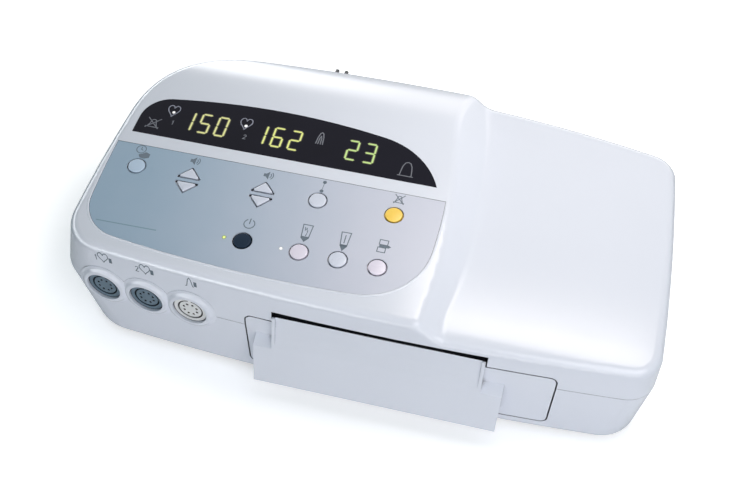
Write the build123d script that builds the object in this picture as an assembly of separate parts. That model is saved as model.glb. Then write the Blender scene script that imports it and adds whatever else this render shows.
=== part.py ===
"""Bedside fetal monitor: low two-shell housing with a sloping control panel and
raised display window on the left, a flat recorder deck on the right, three round
transducer sockets and a pull-out chart recorder drawer in the front wall.

Axes: X to the right seen from the front, Y to the back, Z up, sizes in millimetres.
Z = 0 is the surface the rubber feet stand on. The sizes below are counted from the
middle of the housing, and the finished pieces are set out from the middle of the
whole footprint, chute and terminals included.
"""
import math
import os

from build123d import *

os.makedirs("parts", exist_ok=True)

# Middle of the whole footprint, counted from the middle of the housing
FOOTPRINT_MIDDLE = (-3.5, -5.33)

# Housing, plan outline at the seam: four bowed sides and four corner arcs
FEET_HEIGHT = 3.0
SHELL_BASE = FEET_HEIGHT
SEAM_Z = 64.0
WALL_TOP_Z = 132.0
FRONT_Y, FRONT_BOW_R, FRONT_BOW_X = -122.2, 2380.0, 30.0
BACK_Y, BACK_BOW_R, BACK_BOW_X = 123.4, 1000.0, -14.0
LEFT_X, LEFT_BOW_R, LEFT_BOW_Y = -229.5, 1200.0, -62.0
RIGHT_X, RIGHT_BOW_R, RIGHT_BOW_Y = 222.5, 1900.0, -10.0
CORNER_FRONT_RIGHT, CORNER_BACK_RIGHT = 23.0, 24.0
CORNER_BACK_LEFT, CORNER_FRONT_LEFT = 98.0, 34.0
WALL = 2.8

# Wall lean of the upper shell, inset per unit of height
LEAN_FRONT, LEAN_RIGHT, LEAN_BACK, LEAN_LEFT = 0.073, 0.045, 0.05, 0.25
# Inset of the lower shell at its base
BASE_IN_FRONT, BASE_IN_RIGHT, BASE_IN_BACK, BASE_IN_LEFT = 0.8, 3.5, 3.0, 10.0
BASE_CORNER_GROWTH = 8.0
BASE_EDGE_R = 7.0
RIM_R = 8.0
# Draft of the inner walls, which thickens the wall towards the rounded rim
INNER_DRAFT = 0.09

# Control panel plane and the dome behind it
PANEL_TILT = 4.1
PANEL_Z = 114.3
DOME_START_Y, DOME_R = 51.0, 132.0

# Recorder deck and the slope that joins it to the panel
DECK_Z = 96.0
BROW_START_Y, BROW_R, BROW_REACH = -92.0, 75.0, 30.0
SLOPE_BOW_R, SLOPE_MID_X, SLOPE_BOW_Y = 540.0, 64.0, 0.0
SLOPE_RUN = 1.2
SLOPE_TOP_R, SLOPE_FOOT_R = 12.0, 14.0

# Panel overlay and display window, in panel coordinates (u along X, v up the slope from Y = 0)
OVERLAY_THICKNESS = 0.5
PANEL_RECESS = 0.6
OVERLAY_TOP_V = -10.0
OVERLAY_GAP = 0.35
LENS_BOTTOM_V = 1.2
LENS_THICKNESS = 2.0

# Keys
KEY_D = 14.0
KEY_CLEARANCE = 0.35
KEY_PROUD = 0.9
KEY_TRAVEL = 0.8
KEY_FLANGE = 1.2
KEY_FLANGE_T = 1.2
KEY_STEM_D = 5.0
ROW_A_V, ROW_B_V = -31.0, -79.0
TRIANGLE_BASE, TRIANGLE_H, TRIANGLE_CORNER_R = 19.6, 10.4, 0.8
TRIANGLE_CENTRE_V = {"up": -28.3, "down": -42.3}
ROUND_KEYS = {
    "setup": (-187.2, ROW_A_V),
    "mark": (-43.6, ROW_A_V),
    "alarm_silence": (14.6, ROW_A_V),
    "power": (-87.2, ROW_B_V),
    "record": (-44.6, ROW_B_V),
    "paper_advance": (-15.7, ROW_B_V),
    "print": (13.3, ROW_B_V),
}
TRIANGLE_KEYS = {"volume_1": -144.5, "volume_2": -86.0}

# Display board under the panel
BOARD_N = -16.0
BOARD_T = 1.6
BOARD_U0, BOARD_U1, BOARD_V0, BOARD_V1 = -198.0, 42.0, -98.0, 42.0
BOARD_FIXINGS = ((-186.0, -6.0), (-120.0, -62.0), (-116.0, -2.0), (-60.0, -58.0), (32.0, -56.0), (-8.0, -4.0))
BOARD_BOSS_D, BOARD_PILOT_D = 7.0, 2.4
SWITCH_SIZE, SWITCH_H = 6.0, 2.8
SWITCH_PLUNGER_H = 0.5
DIGIT_MODULE = (43.0, 26.0, 8.0)
DIGIT_CENTRES = {"1": (-150.2, 21.5), "2": (-90.2, 21.2), "3": (-30.4, 21.8)}
DIGIT_FACE_N = -3.2
LAMPS = {"power": (-101.0, ROW_B_V), "record": (-58.0, ROW_B_V)}
LAMP_D = 3.0

# Transducer sockets in the front wall
SOCKET_X = (-188.4, -153.7, -118.6)
SOCKET_Z = 65.0
SOCKET_LEAN = 2.2
COLLAR_D, COLLAR_PROUD, COLLAR_DEPTH = 31.6, 2.4, 7.0
COLLAR_FLANGE, COLLAR_FLANGE_T = 1.5, 2.0
COLLAR_CLEARANCE = 0.15
RECEPTACLE_D, RECEPTACLE_BORE_D, RECEPTACLE_DEPTH = 26.6, 20.0, 9.0
RECEPTACLE_PROUD, RECEPTACLE_LENGTH = 0.4, 16.9
INSERT_D, INSERT_SUNK = 17.6, 0.3
PIN_D, PIN_CIRCLE_D, PIN_COUNT = 1.2, 10.8, 8

# Recorder drawer opening in the front wall
DOOR_X0, DOOR_X1 = -76.0, 153.0
DOOR_Z0, DOOR_Z1 = 14.5, 75.5
SLOT_X0, SLOT_X1 = -54.5, 102.5
SLOT_TOP_Z, SLOT_GAP = 86.0, 3.8
DOOR_CORNER_R = 6.0
DOOR_GAP = 1.1
DRAWER_TRAVEL = 100.0

# Paper chute on the drawer front: concave guide above, wider pull lip below (Y, Z)
CHUTE_T = 2.4
CHUTE_TOP, CHUTE_HOLLOW, CHUTE_BEND = (-121.5, 82.4), (-124.4, 69.0), (-131.6, 57.0)
CHUTE_FOOT = (-137.2, 16.5)
LIP_X0, LIP_X1 = -67.5, 117.0
LIP_TOP_Z, LIP_RETURN_Z = 53.0, 34.0
# Height that the top of the lip gains on its way back to the door
LIP_SHOULDER = 10.0
CHEEK_T = 2.4

# Paper tray and recorder frame
TRAY_X0, TRAY_X1 = -56.0, 104.0
TRAY_Y0, TRAY_Y1 = -112.0, -2.0
TRAY_WALL = 2.0
TRAY_FLOOR_Z, TRAY_TOP_Z = 24.8, 56.0
RUNNER_H = 10.0
# Length of runner that stays in the frame when the drawer is out
RUNNER_HOLD = 34.0
FRAME_CLEARANCE = 0.4
FRAME_SIDE_GAP = 9.0
FRAME_Y0 = -108.0
RUNNER_Y1 = FRAME_Y0 + DRAWER_TRAVEL + RUNNER_HOLD
FRAME_Y1 = RUNNER_Y1 + 6.0
FRAME_T = 1.6
FRAME_TOP_Z = 84.0
FRAME_LEG_D = 8.0

# Platen, gear train and motor, all on the line Z = PLATEN_Z
PLATEN_Y, PLATEN_Z = -104.0, 65.5
PLATEN_D, PLATEN_SIDE_GAP = 16.0, 1.0
SHAFT_D, SHAFT_OVERHANG = 6.0, 3.0
BUSHING_D, RUNNING_CLEARANCE = 9.0, 0.05
CHEEK_TOP_Z = 73.0
GEAR_MODULE, PRESSURE_ANGLE = 1.0, 20.0
PLATEN_TEETH, IDLER_TEETH, PINION_TEETH = 16, 24, 12
GEAR_BACKLASH = 0.16
GEAR_SIDE_GAP, GEAR_WIDTH = 1.6, 5.0
IDLER_PIN_D = 4.0
MOTOR_D, MOTOR_LENGTH = 36.0, 25.0
MOTOR_SHAFT_D, MOTOR_HUB_D = 5.0, 11.0
HEAD_ANGLE, HEAD_CLEARANCE = 38.0, 0.15
HEAD_UP, HEAD_DOWN, HEAD_T = 12.0, 9.0, 2.0

# Rear connector panel in the lower shell
REAR_X0, REAR_X1 = -104.0, 26.0
REAR_Z0, REAR_Z1 = 16.0, 56.0
REAR_PLATE_Y, REAR_PLATE_T, REAR_PLATE_GAP = 113.5, 2.0, 0.3
REAR_FRAME_T = 2.4
REAR_Z = (REAR_Z0 + REAR_Z1) / 2
INLET_X, INLET_W, INLET_H, INLET_DEPTH = -80.0, 27.0, 20.0, 18.0
PORT_X, PORT_W, PORT_H = (-38.0, -4.0), 20.0, 10.0
EARTH_X, EARTH_PIN_D, EARTH_PIN_LENGTH, EARTH_COLLAR_D = 18.5, 6.0, 4.0, 10.0
TERMINAL_X, TERMINAL_Z, TERMINAL_D, TERMINAL_PROUD = (-69.5, -61.5), 100.0, 3.4, 1.6

# Fixing points of the two shells, feet and floor-mounted pieces
BOSS_XY = ((-206.0, -62.0), (-183.5, 77.5), (24.0, 102.0), (203.0, -92.0), (200.0, 80.0))
BOSS_D, SCREW_D, SCREW_HEAD_D, SCREW_HEAD_H = 8.0, 3.4, 6.4, 2.2
FOOT_XY = ((-178.0, -86.0), (-158.0, 84.0), (178.0, 80.0), (180.0, -84.0))
FOOT_D, FOOT_SEAT = 18.0, 1.4
SEAM_GAP = 0.45
TONGUE_CLEARANCE, TONGUE_T, TONGUE_H = 0.8, 1.4, 1.6
SPEAKER_X, SPEAKER_Y, SPEAKER_D = -150.0, -38.0, 64.0
MAIN_BOARD_X0, MAIN_BOARD_Y0, MAIN_BOARD_W, MAIN_BOARD_H = -86.0, 42.0, 96.0, 60.0
SUPPLY_X0, SUPPLY_Y0, SUPPLY_W, SUPPLY_H = -176.0, 26.0, 72.0, 60.0
STANDOFF_D, MAIN_STANDOFF_H, SUPPLY_STANDOFF_H = 6.0, 9.0, 4.0


# Construction helpers

FLOOR_Z = SHELL_BASE + WALL


def block(x0, x1, y0, y1, z0, z1):
    """Solid box between two corners."""
    return Solid.make_box(x1 - x0, y1 - y0, z1 - z0, Plane(origin=(x0, y0, z0)))


def rod(start, direction, diameter, length):
    """Solid cylinder from a point along a direction."""
    return Solid.make_cylinder(diameter / 2, length, Plane(origin=start, z_dir=direction))


def prism(points, plane, near, far):
    """Solid between two heights above a plane, with a polygon as its section."""
    corners = [plane.from_local_coords(Vector(u, v, near)) for u, v in points]
    face = Face(Wire.make_polygon(corners, close=True))
    return Solid.extrude(face, plane.z_dir * (far - near))


def yz_prism(points, x0, x1):
    """Solid with a polygon section in side view, from x0 to x1."""
    return prism(points, Plane(origin=(0, 0, 0), x_dir=(0, 1, 0), z_dir=(1, 0, 0)), x0, x1)


def circle_crossing(centre_a, radius_a, centre_b, radius_b, near):
    """Crossing of two circles that lies nearest a given point."""
    ax, ay = centre_a
    bx, by = centre_b
    gap = math.hypot(bx - ax, by - ay)
    along = (radius_a ** 2 - radius_b ** 2 + gap ** 2) / (2 * gap)
    across = math.sqrt(radius_a ** 2 - along ** 2)
    ux, uy = (bx - ax) / gap, (by - ay) / gap
    first = (ax + along * ux + across * uy, ay + along * uy - across * ux)
    second = (ax + along * ux - across * uy, ay + along * uy + across * ux)
    return min((first, second), key=lambda p: math.dist(p, near))


def push_to(point, centre, radius):
    """Point on a circle in the direction of the given point."""
    reach = math.dist(point, centre)
    return tuple(c + (p - c) * radius / reach for p, c in zip(point, centre))


def halfway(p, q):
    return ((p[0] + q[0]) / 2, (p[1] + q[1]) / 2)


def bowed_arcs(sides, corner_radii, corner_guess):
    """Arcs of an outline with four bowed sides (centre, radius) and four rounded corners."""
    corners = []
    for k, radius in enumerate(corner_radii):
        (centre_a, radius_a), (centre_b, radius_b) = sides[k], sides[(k + 1) % 4]
        centre = circle_crossing(centre_a, radius_a - radius, centre_b, radius_b - radius, corner_guess[k])
        start = push_to(centre, centre_a, radius_a)
        end = push_to(centre, centre_b, radius_b)
        corners.append((start, push_to(halfway(start, end), centre, radius), end))
    arcs = []
    for k, (centre, radius) in enumerate(sides):
        start, end = corners[k - 1][2], corners[k][0]
        arcs.append((start, push_to(halfway(start, end), centre, radius), end))
        arcs.append(corners[k])
    return arcs


def wire_on(plane, arcs, offset=0.0):
    """Closed wire of three-point arcs drawn on a plane."""
    def place(p):
        return plane.from_local_coords(Vector(p[0], p[1], offset))
    return Wire([Edge.make_three_point_arc(place(a), place(b), place(c)) for a, b, c in arcs])


def housing_outline(z, front=0.0, right=0.0, back=0.0, left=0.0, corner_growth=0.0):
    """Plan outline of the housing at one height, with each side moved inwards."""
    sides = (
        ((FRONT_BOW_X, FRONT_Y + FRONT_BOW_R), FRONT_BOW_R - front),
        ((RIGHT_X - RIGHT_BOW_R, RIGHT_BOW_Y), RIGHT_BOW_R - right),
        ((BACK_BOW_X, BACK_Y - BACK_BOW_R), BACK_BOW_R - back),
        ((LEFT_X + LEFT_BOW_R, LEFT_BOW_Y), LEFT_BOW_R - left),
    )
    radii = (
        CORNER_FRONT_RIGHT - min(front, right) + corner_growth,
        CORNER_BACK_RIGHT - min(back, right) + corner_growth,
        CORNER_BACK_LEFT - min(back, left) + corner_growth,
        CORNER_FRONT_LEFT - min(front, left) + corner_growth,
    )
    guess = ((RIGHT_X, FRONT_Y), (RIGHT_X, BACK_Y), (LEFT_X, BACK_Y), (LEFT_X, FRONT_Y))
    return wire_on(Plane.XY.offset(z), bowed_arcs(sides, radii, guess))


TILT_TAN = math.tan(math.radians(PANEL_TILT))
TILT_SIN = math.sin(math.radians(PANEL_TILT))
TILT_COS = math.cos(math.radians(PANEL_TILT))
PANEL = Plane(origin=(0, 0, PANEL_Z), x_dir=(1, 0, 0), z_dir=(0, -TILT_SIN, TILT_COS))


def on_panel(u, v, n=0.0):
    """Point on the panel: u along X, v up the slope, n out of the surface."""
    return PANEL.from_local_coords(Vector(u, v, n))


def panel_disc(u, v, diameter, near, far):
    """Cylinder square to the panel between two heights."""
    return rod(on_panel(u, v, near), PANEL.z_dir, diameter, far - near)


def panel_block(u, v, width, height, near, far):
    """Box square to the panel between two heights."""
    corners = [(u - width / 2, v - height / 2), (u + width / 2, v - height / 2),
               (u + width / 2, v + height / 2), (u - width / 2, v + height / 2)]
    return prism(corners, PANEL, near, far)


def circles_at(solid, point):
    """Circular edges of a solid around a given centre."""
    return [e for e in solid.edges() if e.geom_type == GeomType.CIRCLE and (e.arc_center - point).length < 0.05]


# Housing forms

def upper_walls(inset, draft):
    """Leaning walls of the upper shell, from the seam to above the dome."""
    height = WALL_TOP_Z - SEAM_Z
    foot = housing_outline(SEAM_Z, inset, inset, inset, inset)
    leans = [inset + height * (lean + draft) for lean in (LEAN_FRONT, LEAN_RIGHT, LEAN_BACK, LEAN_LEFT)]
    return Solid.make_loft([foot, housing_outline(WALL_TOP_Z, *leans)], True)


def panel_and_dome(inset):
    """Everything under the sloping panel and the dome that runs on from it."""
    normal_angle = math.radians(90 + PANEL_TILT)
    start = (DOME_START_Y, PANEL_Z + TILT_TAN * DOME_START_Y)
    centre = (start[0] - DOME_R * math.cos(normal_angle), start[1] - DOME_R * math.sin(normal_angle))
    radius = DOME_R - inset
    floor = 40.0
    end_angle = math.asin((70.0 - centre[1]) / radius)

    def dome(angle):
        return (0, centre[0] + radius * math.cos(angle), centre[1] + radius * math.sin(angle))

    top = dome(normal_angle)
    end = dome(end_angle)
    front_y = FRONT_Y - 40
    front = (0, front_y, top[2] + TILT_TAN * (front_y - top[1]))
    outline = Wire([
        Edge.make_line((0, front_y, floor), front),
        Edge.make_line(front, top),
        Edge.make_three_point_arc(top, dome((normal_angle + end_angle) / 2), end),
        Edge.make_line(end, (0, end[1], floor)),
        Edge.make_line((0, end[1], floor), (0, front_y, floor)),
    ])
    return extrude(Face(outline), amount=300, dir=(-1, 0, 0)) + extrude(Face(outline), amount=140, dir=(1, 0, 0))


def deck(inset):
    """Everything under the recorder deck, which dips along its front edge."""
    top = DECK_Z - inset
    far_left, far_right, far_back, front_y, floor = -300.0, 260.0, 200.0, FRONT_Y - 40, 40.0

    def brow(reach):
        return (0, BROW_START_Y - reach, top - BROW_R + math.sqrt(BROW_R ** 2 - reach ** 2))

    lip = brow(BROW_REACH)
    outline = Wire([
        Edge.make_line((0, front_y, floor), (0, front_y, lip[2] - 10)),
        Edge.make_line((0, front_y, lip[2] - 10), lip),
        Edge.make_three_point_arc(lip, brow(BROW_REACH / 2), brow(0)),
        Edge.make_line(brow(0), (0, far_back, top)),
        Edge.make_line((0, far_back, top), (0, far_back, floor)),
        Edge.make_line((0, far_back, floor), (0, front_y, floor)),
    ])
    face = Face(outline)
    return extrude(face, amount=far_right, dir=(1, 0, 0)) + extrude(face, amount=-far_left, dir=(-1, 0, 0))


def adjacent_once(solid, faces):
    """Edges of a solid that belong to exactly one of the given faces."""
    found = []
    for edge in solid.edges():
        count = sum(1 for face in faces if any(edge.is_same(other) for other in face.edges()))
        if count == 1:
            found.append(edge)
    return found


def slope_cone(inset):
    """Cone whose side is the curved slope between panel and deck."""
    foot_radius = SLOPE_BOW_R + 9 * SLOPE_RUN - inset * math.hypot(1, SLOPE_RUN)
    below, above = 20.0, 34.0
    return Solid.make_cone(foot_radius + below * SLOPE_RUN, foot_radius - above * SLOPE_RUN, below + above,
                           Plane(origin=(SLOPE_MID_X - SLOPE_BOW_R, SLOPE_BOW_Y, DECK_Z - below)))


def upper_form():
    """Solid form of the upper shell: walls, panel, dome, slope and deck, with all roundings."""
    mound = panel_and_dome(0) & slope_cone(0)
    crest = [e for e in mound.edges() if e.center().Z > DECK_Z + 4 and e.center().X > 20 and e.length > 40]
    mound = fillet(crest, SLOPE_TOP_R)
    form = deck(0) + mound
    foot = [e for e in form.edges() if abs(e.center().Z - DECK_Z) < 12 and e.length > 20
            and 50 < e.center().X < 120 and abs(e.center().Y) < 150]
    form = fillet(foot, SLOPE_FOOT_R)
    solid = (upper_walls(0, 0) & form).solids()[0]
    walls = [f for f in solid.faces() if abs(f.normal_at(f.center()).Z) < 0.25]
    rim = [e for e in adjacent_once(solid, walls) if e.center().Z > SEAM_Z + 2]
    return fillet(rim, RIM_R)


def upper_cavity():
    """Hollow of the upper shell, with drafted walls."""
    form = deck(WALL) + (panel_and_dome(WALL) & slope_cone(WALL))
    return (upper_walls(WALL, INNER_DRAFT) & form).solids()[0]


def lower_form(inset=0.0):
    """Solid form of the lower shell, drawn in towards its base."""
    base = SHELL_BASE + inset
    foot = housing_outline(base, BASE_IN_FRONT + inset, BASE_IN_RIGHT + inset,
                           BASE_IN_BACK + inset, BASE_IN_LEFT + inset, BASE_CORNER_GROWTH)
    head = housing_outline(SEAM_Z, inset, inset, inset, inset)
    solid = Solid.make_loft([foot, head], True)
    rim = [e for e in solid.edges() if e.center().Z < base + 0.1]
    return fillet(rim, BASE_EDGE_R - inset * 0.5)


PARTS = {}


def keep(name, shape):
    """Hold a finished piece for export under its node name."""
    PARTS[name] = shape


upper_outer = upper_form()
upper_inner = upper_cavity()
lower_outer = lower_form()
lower_inner = lower_form(WALL)
shell_outer = upper_outer + lower_outer
shell_inner = upper_inner + lower_inner


# Panel outlines

def overlay_arcs(inset=0.0):
    """Outline of the panel recess: four bowed sides, wide round corners."""
    sides = (
        ((-50.0, -105.8 + 1000.0), 1000.0 - inset),
        ((50.0 - 420.0, -28.0), 420.0 - inset),
        ((-95.0, 58.0 - 600.0), 600.0 - inset),
        ((-210.8 + 700.0, -30.0), 700.0 - inset),
    )
    radii = (50.0 - inset, 40.0 - inset, 30.0 - inset, 34.0 - inset)
    guess = ((50.0, -105.0), (50.0, 58.0), (-210.0, 58.0), (-210.0, -105.0))
    return bowed_arcs(sides, radii, guess)


def lens_arcs(inset=0.0):
    """Outline whose upper part is the display window."""
    sides = (
        ((-85.0, -150.0 + 2000.0), 2000.0 - inset),
        ((45.5 - 420.0, -40.0), 420.0 - inset),
        ((-97.0, 47.9 - 520.0), 520.0 - inset),
        ((-203.7 + 700.0, -8.0), 700.0 - inset),
    )
    radii = (20.0 - inset, 64.0 - inset, 24.0 - inset, 20.0 - inset)
    guess = ((40.0, -150.0), (40.0, 48.0), (-203.0, 48.0), (-203.0, -150.0))
    return bowed_arcs(sides, radii, guess)


def outline_solid(arcs, near, far):
    """Solid square to the panel with an outline of arcs."""
    return Solid.extrude(Face(wire_on(PANEL, arcs, near)), PANEL.z_dir * (far - near))


def below_line(v, near, far):
    """Half space of the panel below a line across it."""
    return prism([(-300, v), (300, v), (300, -300), (-300, -300)], PANEL, near, far)


def above_line(v, near, far):
    """Half space of the panel above a line across it."""
    return prism([(-300, v), (300, v), (300, 300), (-300, 300)], PANEL, near, far)


def triangle(u, direction, grow, near, far):
    """Three-sided key column with rounded corners."""
    sign = 1 if direction == "up" else -1
    v = TRIANGLE_CENTRE_V[direction]
    half, height = TRIANGLE_BASE / 2, TRIANGLE_H
    points = [(u - half, v - sign * height / 2), (u + half, v - sign * height / 2), (u, v + sign * height / 2)]
    column = prism(points, PANEL, near, far)
    edges = [e for e in column.edges() if abs(e.length - abs(far - near)) < 1e-6]
    column = fillet(edges, TRIANGLE_CORNER_R)
    if grow:
        top = column.faces().sort_by(Axis(origin=(0, 0, 0), direction=tuple(PANEL.z_dir)))[-1]
        column = extrude(offset(top, grow).face(), amount=-(far - near))
    return column


# Openings cut through the panel
recess = outline_solid(overlay_arcs(), -PANEL_RECESS, 3) & below_line(OVERLAY_TOP_V, -PANEL_RECESS - 1, 4)
window_seat = outline_solid(lens_arcs(), -LENS_THICKNESS, 3) & above_line(LENS_BOTTOM_V, -LENS_THICKNESS - 1, 4)
window = outline_solid(lens_arcs(3.0), -12, 3) & above_line(LENS_BOTTOM_V + 3, -13, 4)
key_holes = []
overlay_holes = []
for u, v in ROUND_KEYS.values():
    key_holes.append(panel_disc(u, v, KEY_D + 2 * KEY_CLEARANCE, -8, 3))
    overlay_holes.append(panel_disc(u, v, KEY_D + 3 * KEY_CLEARANCE, -3, 3))
for u in TRIANGLE_KEYS.values():
    for direction in ("up", "down"):
        key_holes.append(triangle(u, direction, KEY_CLEARANCE, -8, 3))
        overlay_holes.append(triangle(u, direction, KEY_CLEARANCE * 1.5, -3, 3))
for u, v in LAMPS.values():
    key_holes.append(panel_disc(u, v, LAMP_D + 0.3, -8, 3))
    overlay_holes.append(panel_disc(u, v, LAMP_D + 0.3, -3, 3))

# Drawer opening: a wide rounded rectangle with the paper slot rising from its middle


def door_section(gap, slot_top):
    """Front outline of the drawer opening, moved inwards by the gap."""
    low = Plane(origin=(0, FRONT_Y - 30, 0), x_dir=(1, 0, 0), z_dir=(0, -1, 0))
    wide = prism([(DOOR_X0 + gap, DOOR_Z0 + gap), (DOOR_X1 - gap, DOOR_Z0 + gap),
                  (DOOR_X1 - gap, DOOR_Z1 - gap), (DOOR_X0 + gap, DOOR_Z1 - gap)], low, 0, -48)
    edges = [e for e in wide.edges() if abs(e.length - 48) < 1e-6]
    wide = fillet(edges, DOOR_CORNER_R - gap)
    slot = prism([(SLOT_X0 + gap, DOOR_Z1 - 12), (SLOT_X1 - gap, DOOR_Z1 - 12),
                  (SLOT_X1 - gap, slot_top), (SLOT_X0 + gap, slot_top)], low, 0, -48)
    return wide + slot


door_opening = door_section(0.0, SLOT_TOP_Z)
door_blank = door_section(DOOR_GAP, SLOT_TOP_Z - SLOT_GAP)

# Transducer sockets


def socket_plane(x):
    """Plane square to the front wall at a socket, its origin on the wall's outer face."""
    angle = math.asin((x - FRONT_BOW_X) / FRONT_BOW_R)
    lean = math.radians(SOCKET_LEAN)
    y = FRONT_Y + FRONT_BOW_R * (1 - math.cos(angle))
    normal = (math.sin(angle) * math.cos(lean), -math.cos(angle) * math.cos(lean), math.sin(lean))
    return Plane(origin=(x, y, SOCKET_Z), x_dir=(math.cos(angle), math.sin(angle), 0), z_dir=normal)


def along(plane, diameter, near, far, u=0.0, v=0.0):
    """Cylinder square to a plane, between two heights above it."""
    return rod(plane.from_local_coords(Vector(u, v, near)), plane.z_dir, diameter, far - near)


collar_bore_d = RECEPTACLE_D + 2 * COLLAR_CLEARANCE
cup_floor = RECEPTACLE_PROUD - RECEPTACLE_DEPTH
insert_face = RECEPTACLE_PROUD - INSERT_SUNK
flange_front = -WALL - 1.2
socket_holes = []
flange_rooms = []
collars = []
contacts = []
for number, x in enumerate(SOCKET_X, start=1):
    seat = socket_plane(x)
    socket_holes.append(along(seat, COLLAR_D + 2 * COLLAR_CLEARANCE, -20, 10))
    flange_rooms.append(along(seat, COLLAR_D + 2 * COLLAR_FLANGE + 1.2, -20, -WALL - 0.4))
    collar = along(seat, COLLAR_D, -COLLAR_DEPTH, COLLAR_PROUD)
    collar = fillet(circles_at(collar, seat.from_local_coords(Vector(0, 0, COLLAR_PROUD))), 1.6)
    collar += along(seat, COLLAR_D + 2 * COLLAR_FLANGE, flange_front - COLLAR_FLANGE_T, flange_front)
    collars.append(collar - along(seat, collar_bore_d, -20, 10))
    shell = along(seat, RECEPTACLE_D, RECEPTACLE_PROUD - RECEPTACLE_LENGTH, RECEPTACLE_PROUD)
    shell = fillet(circles_at(shell, seat.from_local_coords(Vector(0, 0, RECEPTACLE_PROUD))), 0.8)
    shell += along(seat, COLLAR_D, -COLLAR_DEPTH - 2.0, -COLLAR_DEPTH)
    shell -= along(seat, RECEPTACLE_BORE_D, cup_floor, 10)
    keep(f"socket_shell_{number}", shell)
    insert = along(seat, INSERT_D, cup_floor, insert_face)
    insert += along(seat, 2.4, cup_floor, insert_face, v=INSERT_D / 2)
    wells = []
    for k in range(PIN_COUNT):
        turn = 2 * math.pi * (k + 0.5) / PIN_COUNT
        u, v = PIN_CIRCLE_D / 2 * math.cos(turn), PIN_CIRCLE_D / 2 * math.sin(turn)
        wells.append(along(seat, PIN_D + 0.8, insert_face - 5, insert_face + 1, u, v))
        contacts.append(along(seat, PIN_D, insert_face - 5, insert_face - 1, u, v))
    keep(f"socket_insert_{number}", insert - wells)
keep("socket_collars", Compound(collars))
keep("socket_contacts", Compound(contacts))

# Upper housing
upper = upper_outer - upper_inner
screw_columns = [rod((x, y, SEAM_Z), (0, 0, 1), BOSS_D, 70) & upper_outer for x, y in BOSS_XY]
board_bosses = [panel_disc(u, v, BOARD_BOSS_D, BOARD_N, -WALL + 0.4) for u, v in BOARD_FIXINGS]
upper = upper + screw_columns + board_bosses
upper = upper - recess - window_seat - window - key_holes - door_opening - socket_holes - flange_rooms
upper -= [rod((x, y, SEAM_Z - 1), (0, 0, 1), SCREW_D - 0.6, 14) for x, y in BOSS_XY]
upper -= [panel_disc(u, v, BOARD_PILOT_D, BOARD_N - 0.1, BOARD_N + 8) for u, v in BOARD_FIXINGS]
keep("upper_housing", upper)

# Lower housing, with a tongue that locates the upper shell
lower = (lower_outer - lower_inner) & block(-300, 300, -200, 200, 0, SEAM_Z - SEAM_GAP)


def seam_band(inset, z0, z1):
    """Solid inside the outline at the seam, between two heights."""
    return Solid.extrude(Face(housing_outline(z0, inset, inset, inset, inset)), Vector(0, 0, z1 - z0))


tongue_inset = WALL + TONGUE_CLEARANCE
tongue = seam_band(tongue_inset, SEAM_Z - 6, SEAM_Z + TONGUE_H) + seam_band(WALL - 0.4, SEAM_Z - 6, SEAM_Z - 1)
lower += tongue - seam_band(tongue_inset + TONGUE_T, SEAM_Z - 7, SEAM_Z + TONGUE_H + 1)
lower += [rod((x, y, SHELL_BASE + 1), (0, 0, 1), BOSS_D, SEAM_Z - SHELL_BASE - 1) for x, y in BOSS_XY]
foot_pads = [rod((x, y, SHELL_BASE + 0.5), (0, 0, 1), FOOT_D + 4, WALL + 0.6) for x, y in FOOT_XY]
rear_frame = block(REAR_X0 - REAR_FRAME_T, REAR_X1 + REAR_FRAME_T, REAR_PLATE_Y - 1, BACK_Y,
                   REAR_Z0 - REAR_FRAME_T, REAR_Z1 + REAR_FRAME_T) & lower_outer
lower = lower + foot_pads + rear_frame
lower -= block(REAR_X0, REAR_X1, REAR_PLATE_Y, BACK_Y + 10, REAR_Z0, REAR_Z1)
lower -= block(REAR_X0 + 3, REAR_X1 - 3, REAR_PLATE_Y - 4, BACK_Y, REAR_Z0 + 3, REAR_Z1 - 3)
head_seat_z = SHELL_BASE + 1.2
lower -= [rod((x, y, 0), (0, 0, 1), SCREW_D, SEAM_Z + 2) for x, y in BOSS_XY]
lower -= [rod((x, y, 0), (0, 0, 1), SCREW_HEAD_D + 0.6, head_seat_z + SCREW_HEAD_H) for x, y in BOSS_XY]
lower -= [rod((x, y, 0), (0, 0, 1), FOOT_D + 0.2, SHELL_BASE + FOOT_SEAT) for x, y in FOOT_XY]
lower = lower - door_opening - socket_holes - flange_rooms
vent_slots = [block(120 + k * 7, 123 + k * 7, 10, 66, 0, FLOOR_Z + 1) for k in range(9)]
speaker_slots = []
for k in range(-3, 4):
    half = math.sqrt((SPEAKER_D / 2 - 8) ** 2 - (k * 6.5) ** 2)
    x = SPEAKER_X + k * 6.5
    speaker_slots.append(block(x - 1.4, x + 1.4, SPEAKER_Y - half, SPEAKER_Y + half, 0, FLOOR_Z + 1))
lower = lower - vent_slots - speaker_slots
keep("lower_housing", lower)

# Display window and overlay
lens = outline_solid(lens_arcs(0.2), -LENS_THICKNESS + 0.05, -0.05)
lens = lens & above_line(LENS_BOTTOM_V + 0.2, -5, 3)
keep("display_lens", lens)
overlay = outline_solid(overlay_arcs(OVERLAY_GAP), -PANEL_RECESS, -PANEL_RECESS + OVERLAY_THICKNESS)
overlay = (overlay & below_line(OVERLAY_TOP_V - OVERLAY_GAP, -5, 3)) - overlay_holes
keep("keypad_overlay", overlay)

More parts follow.
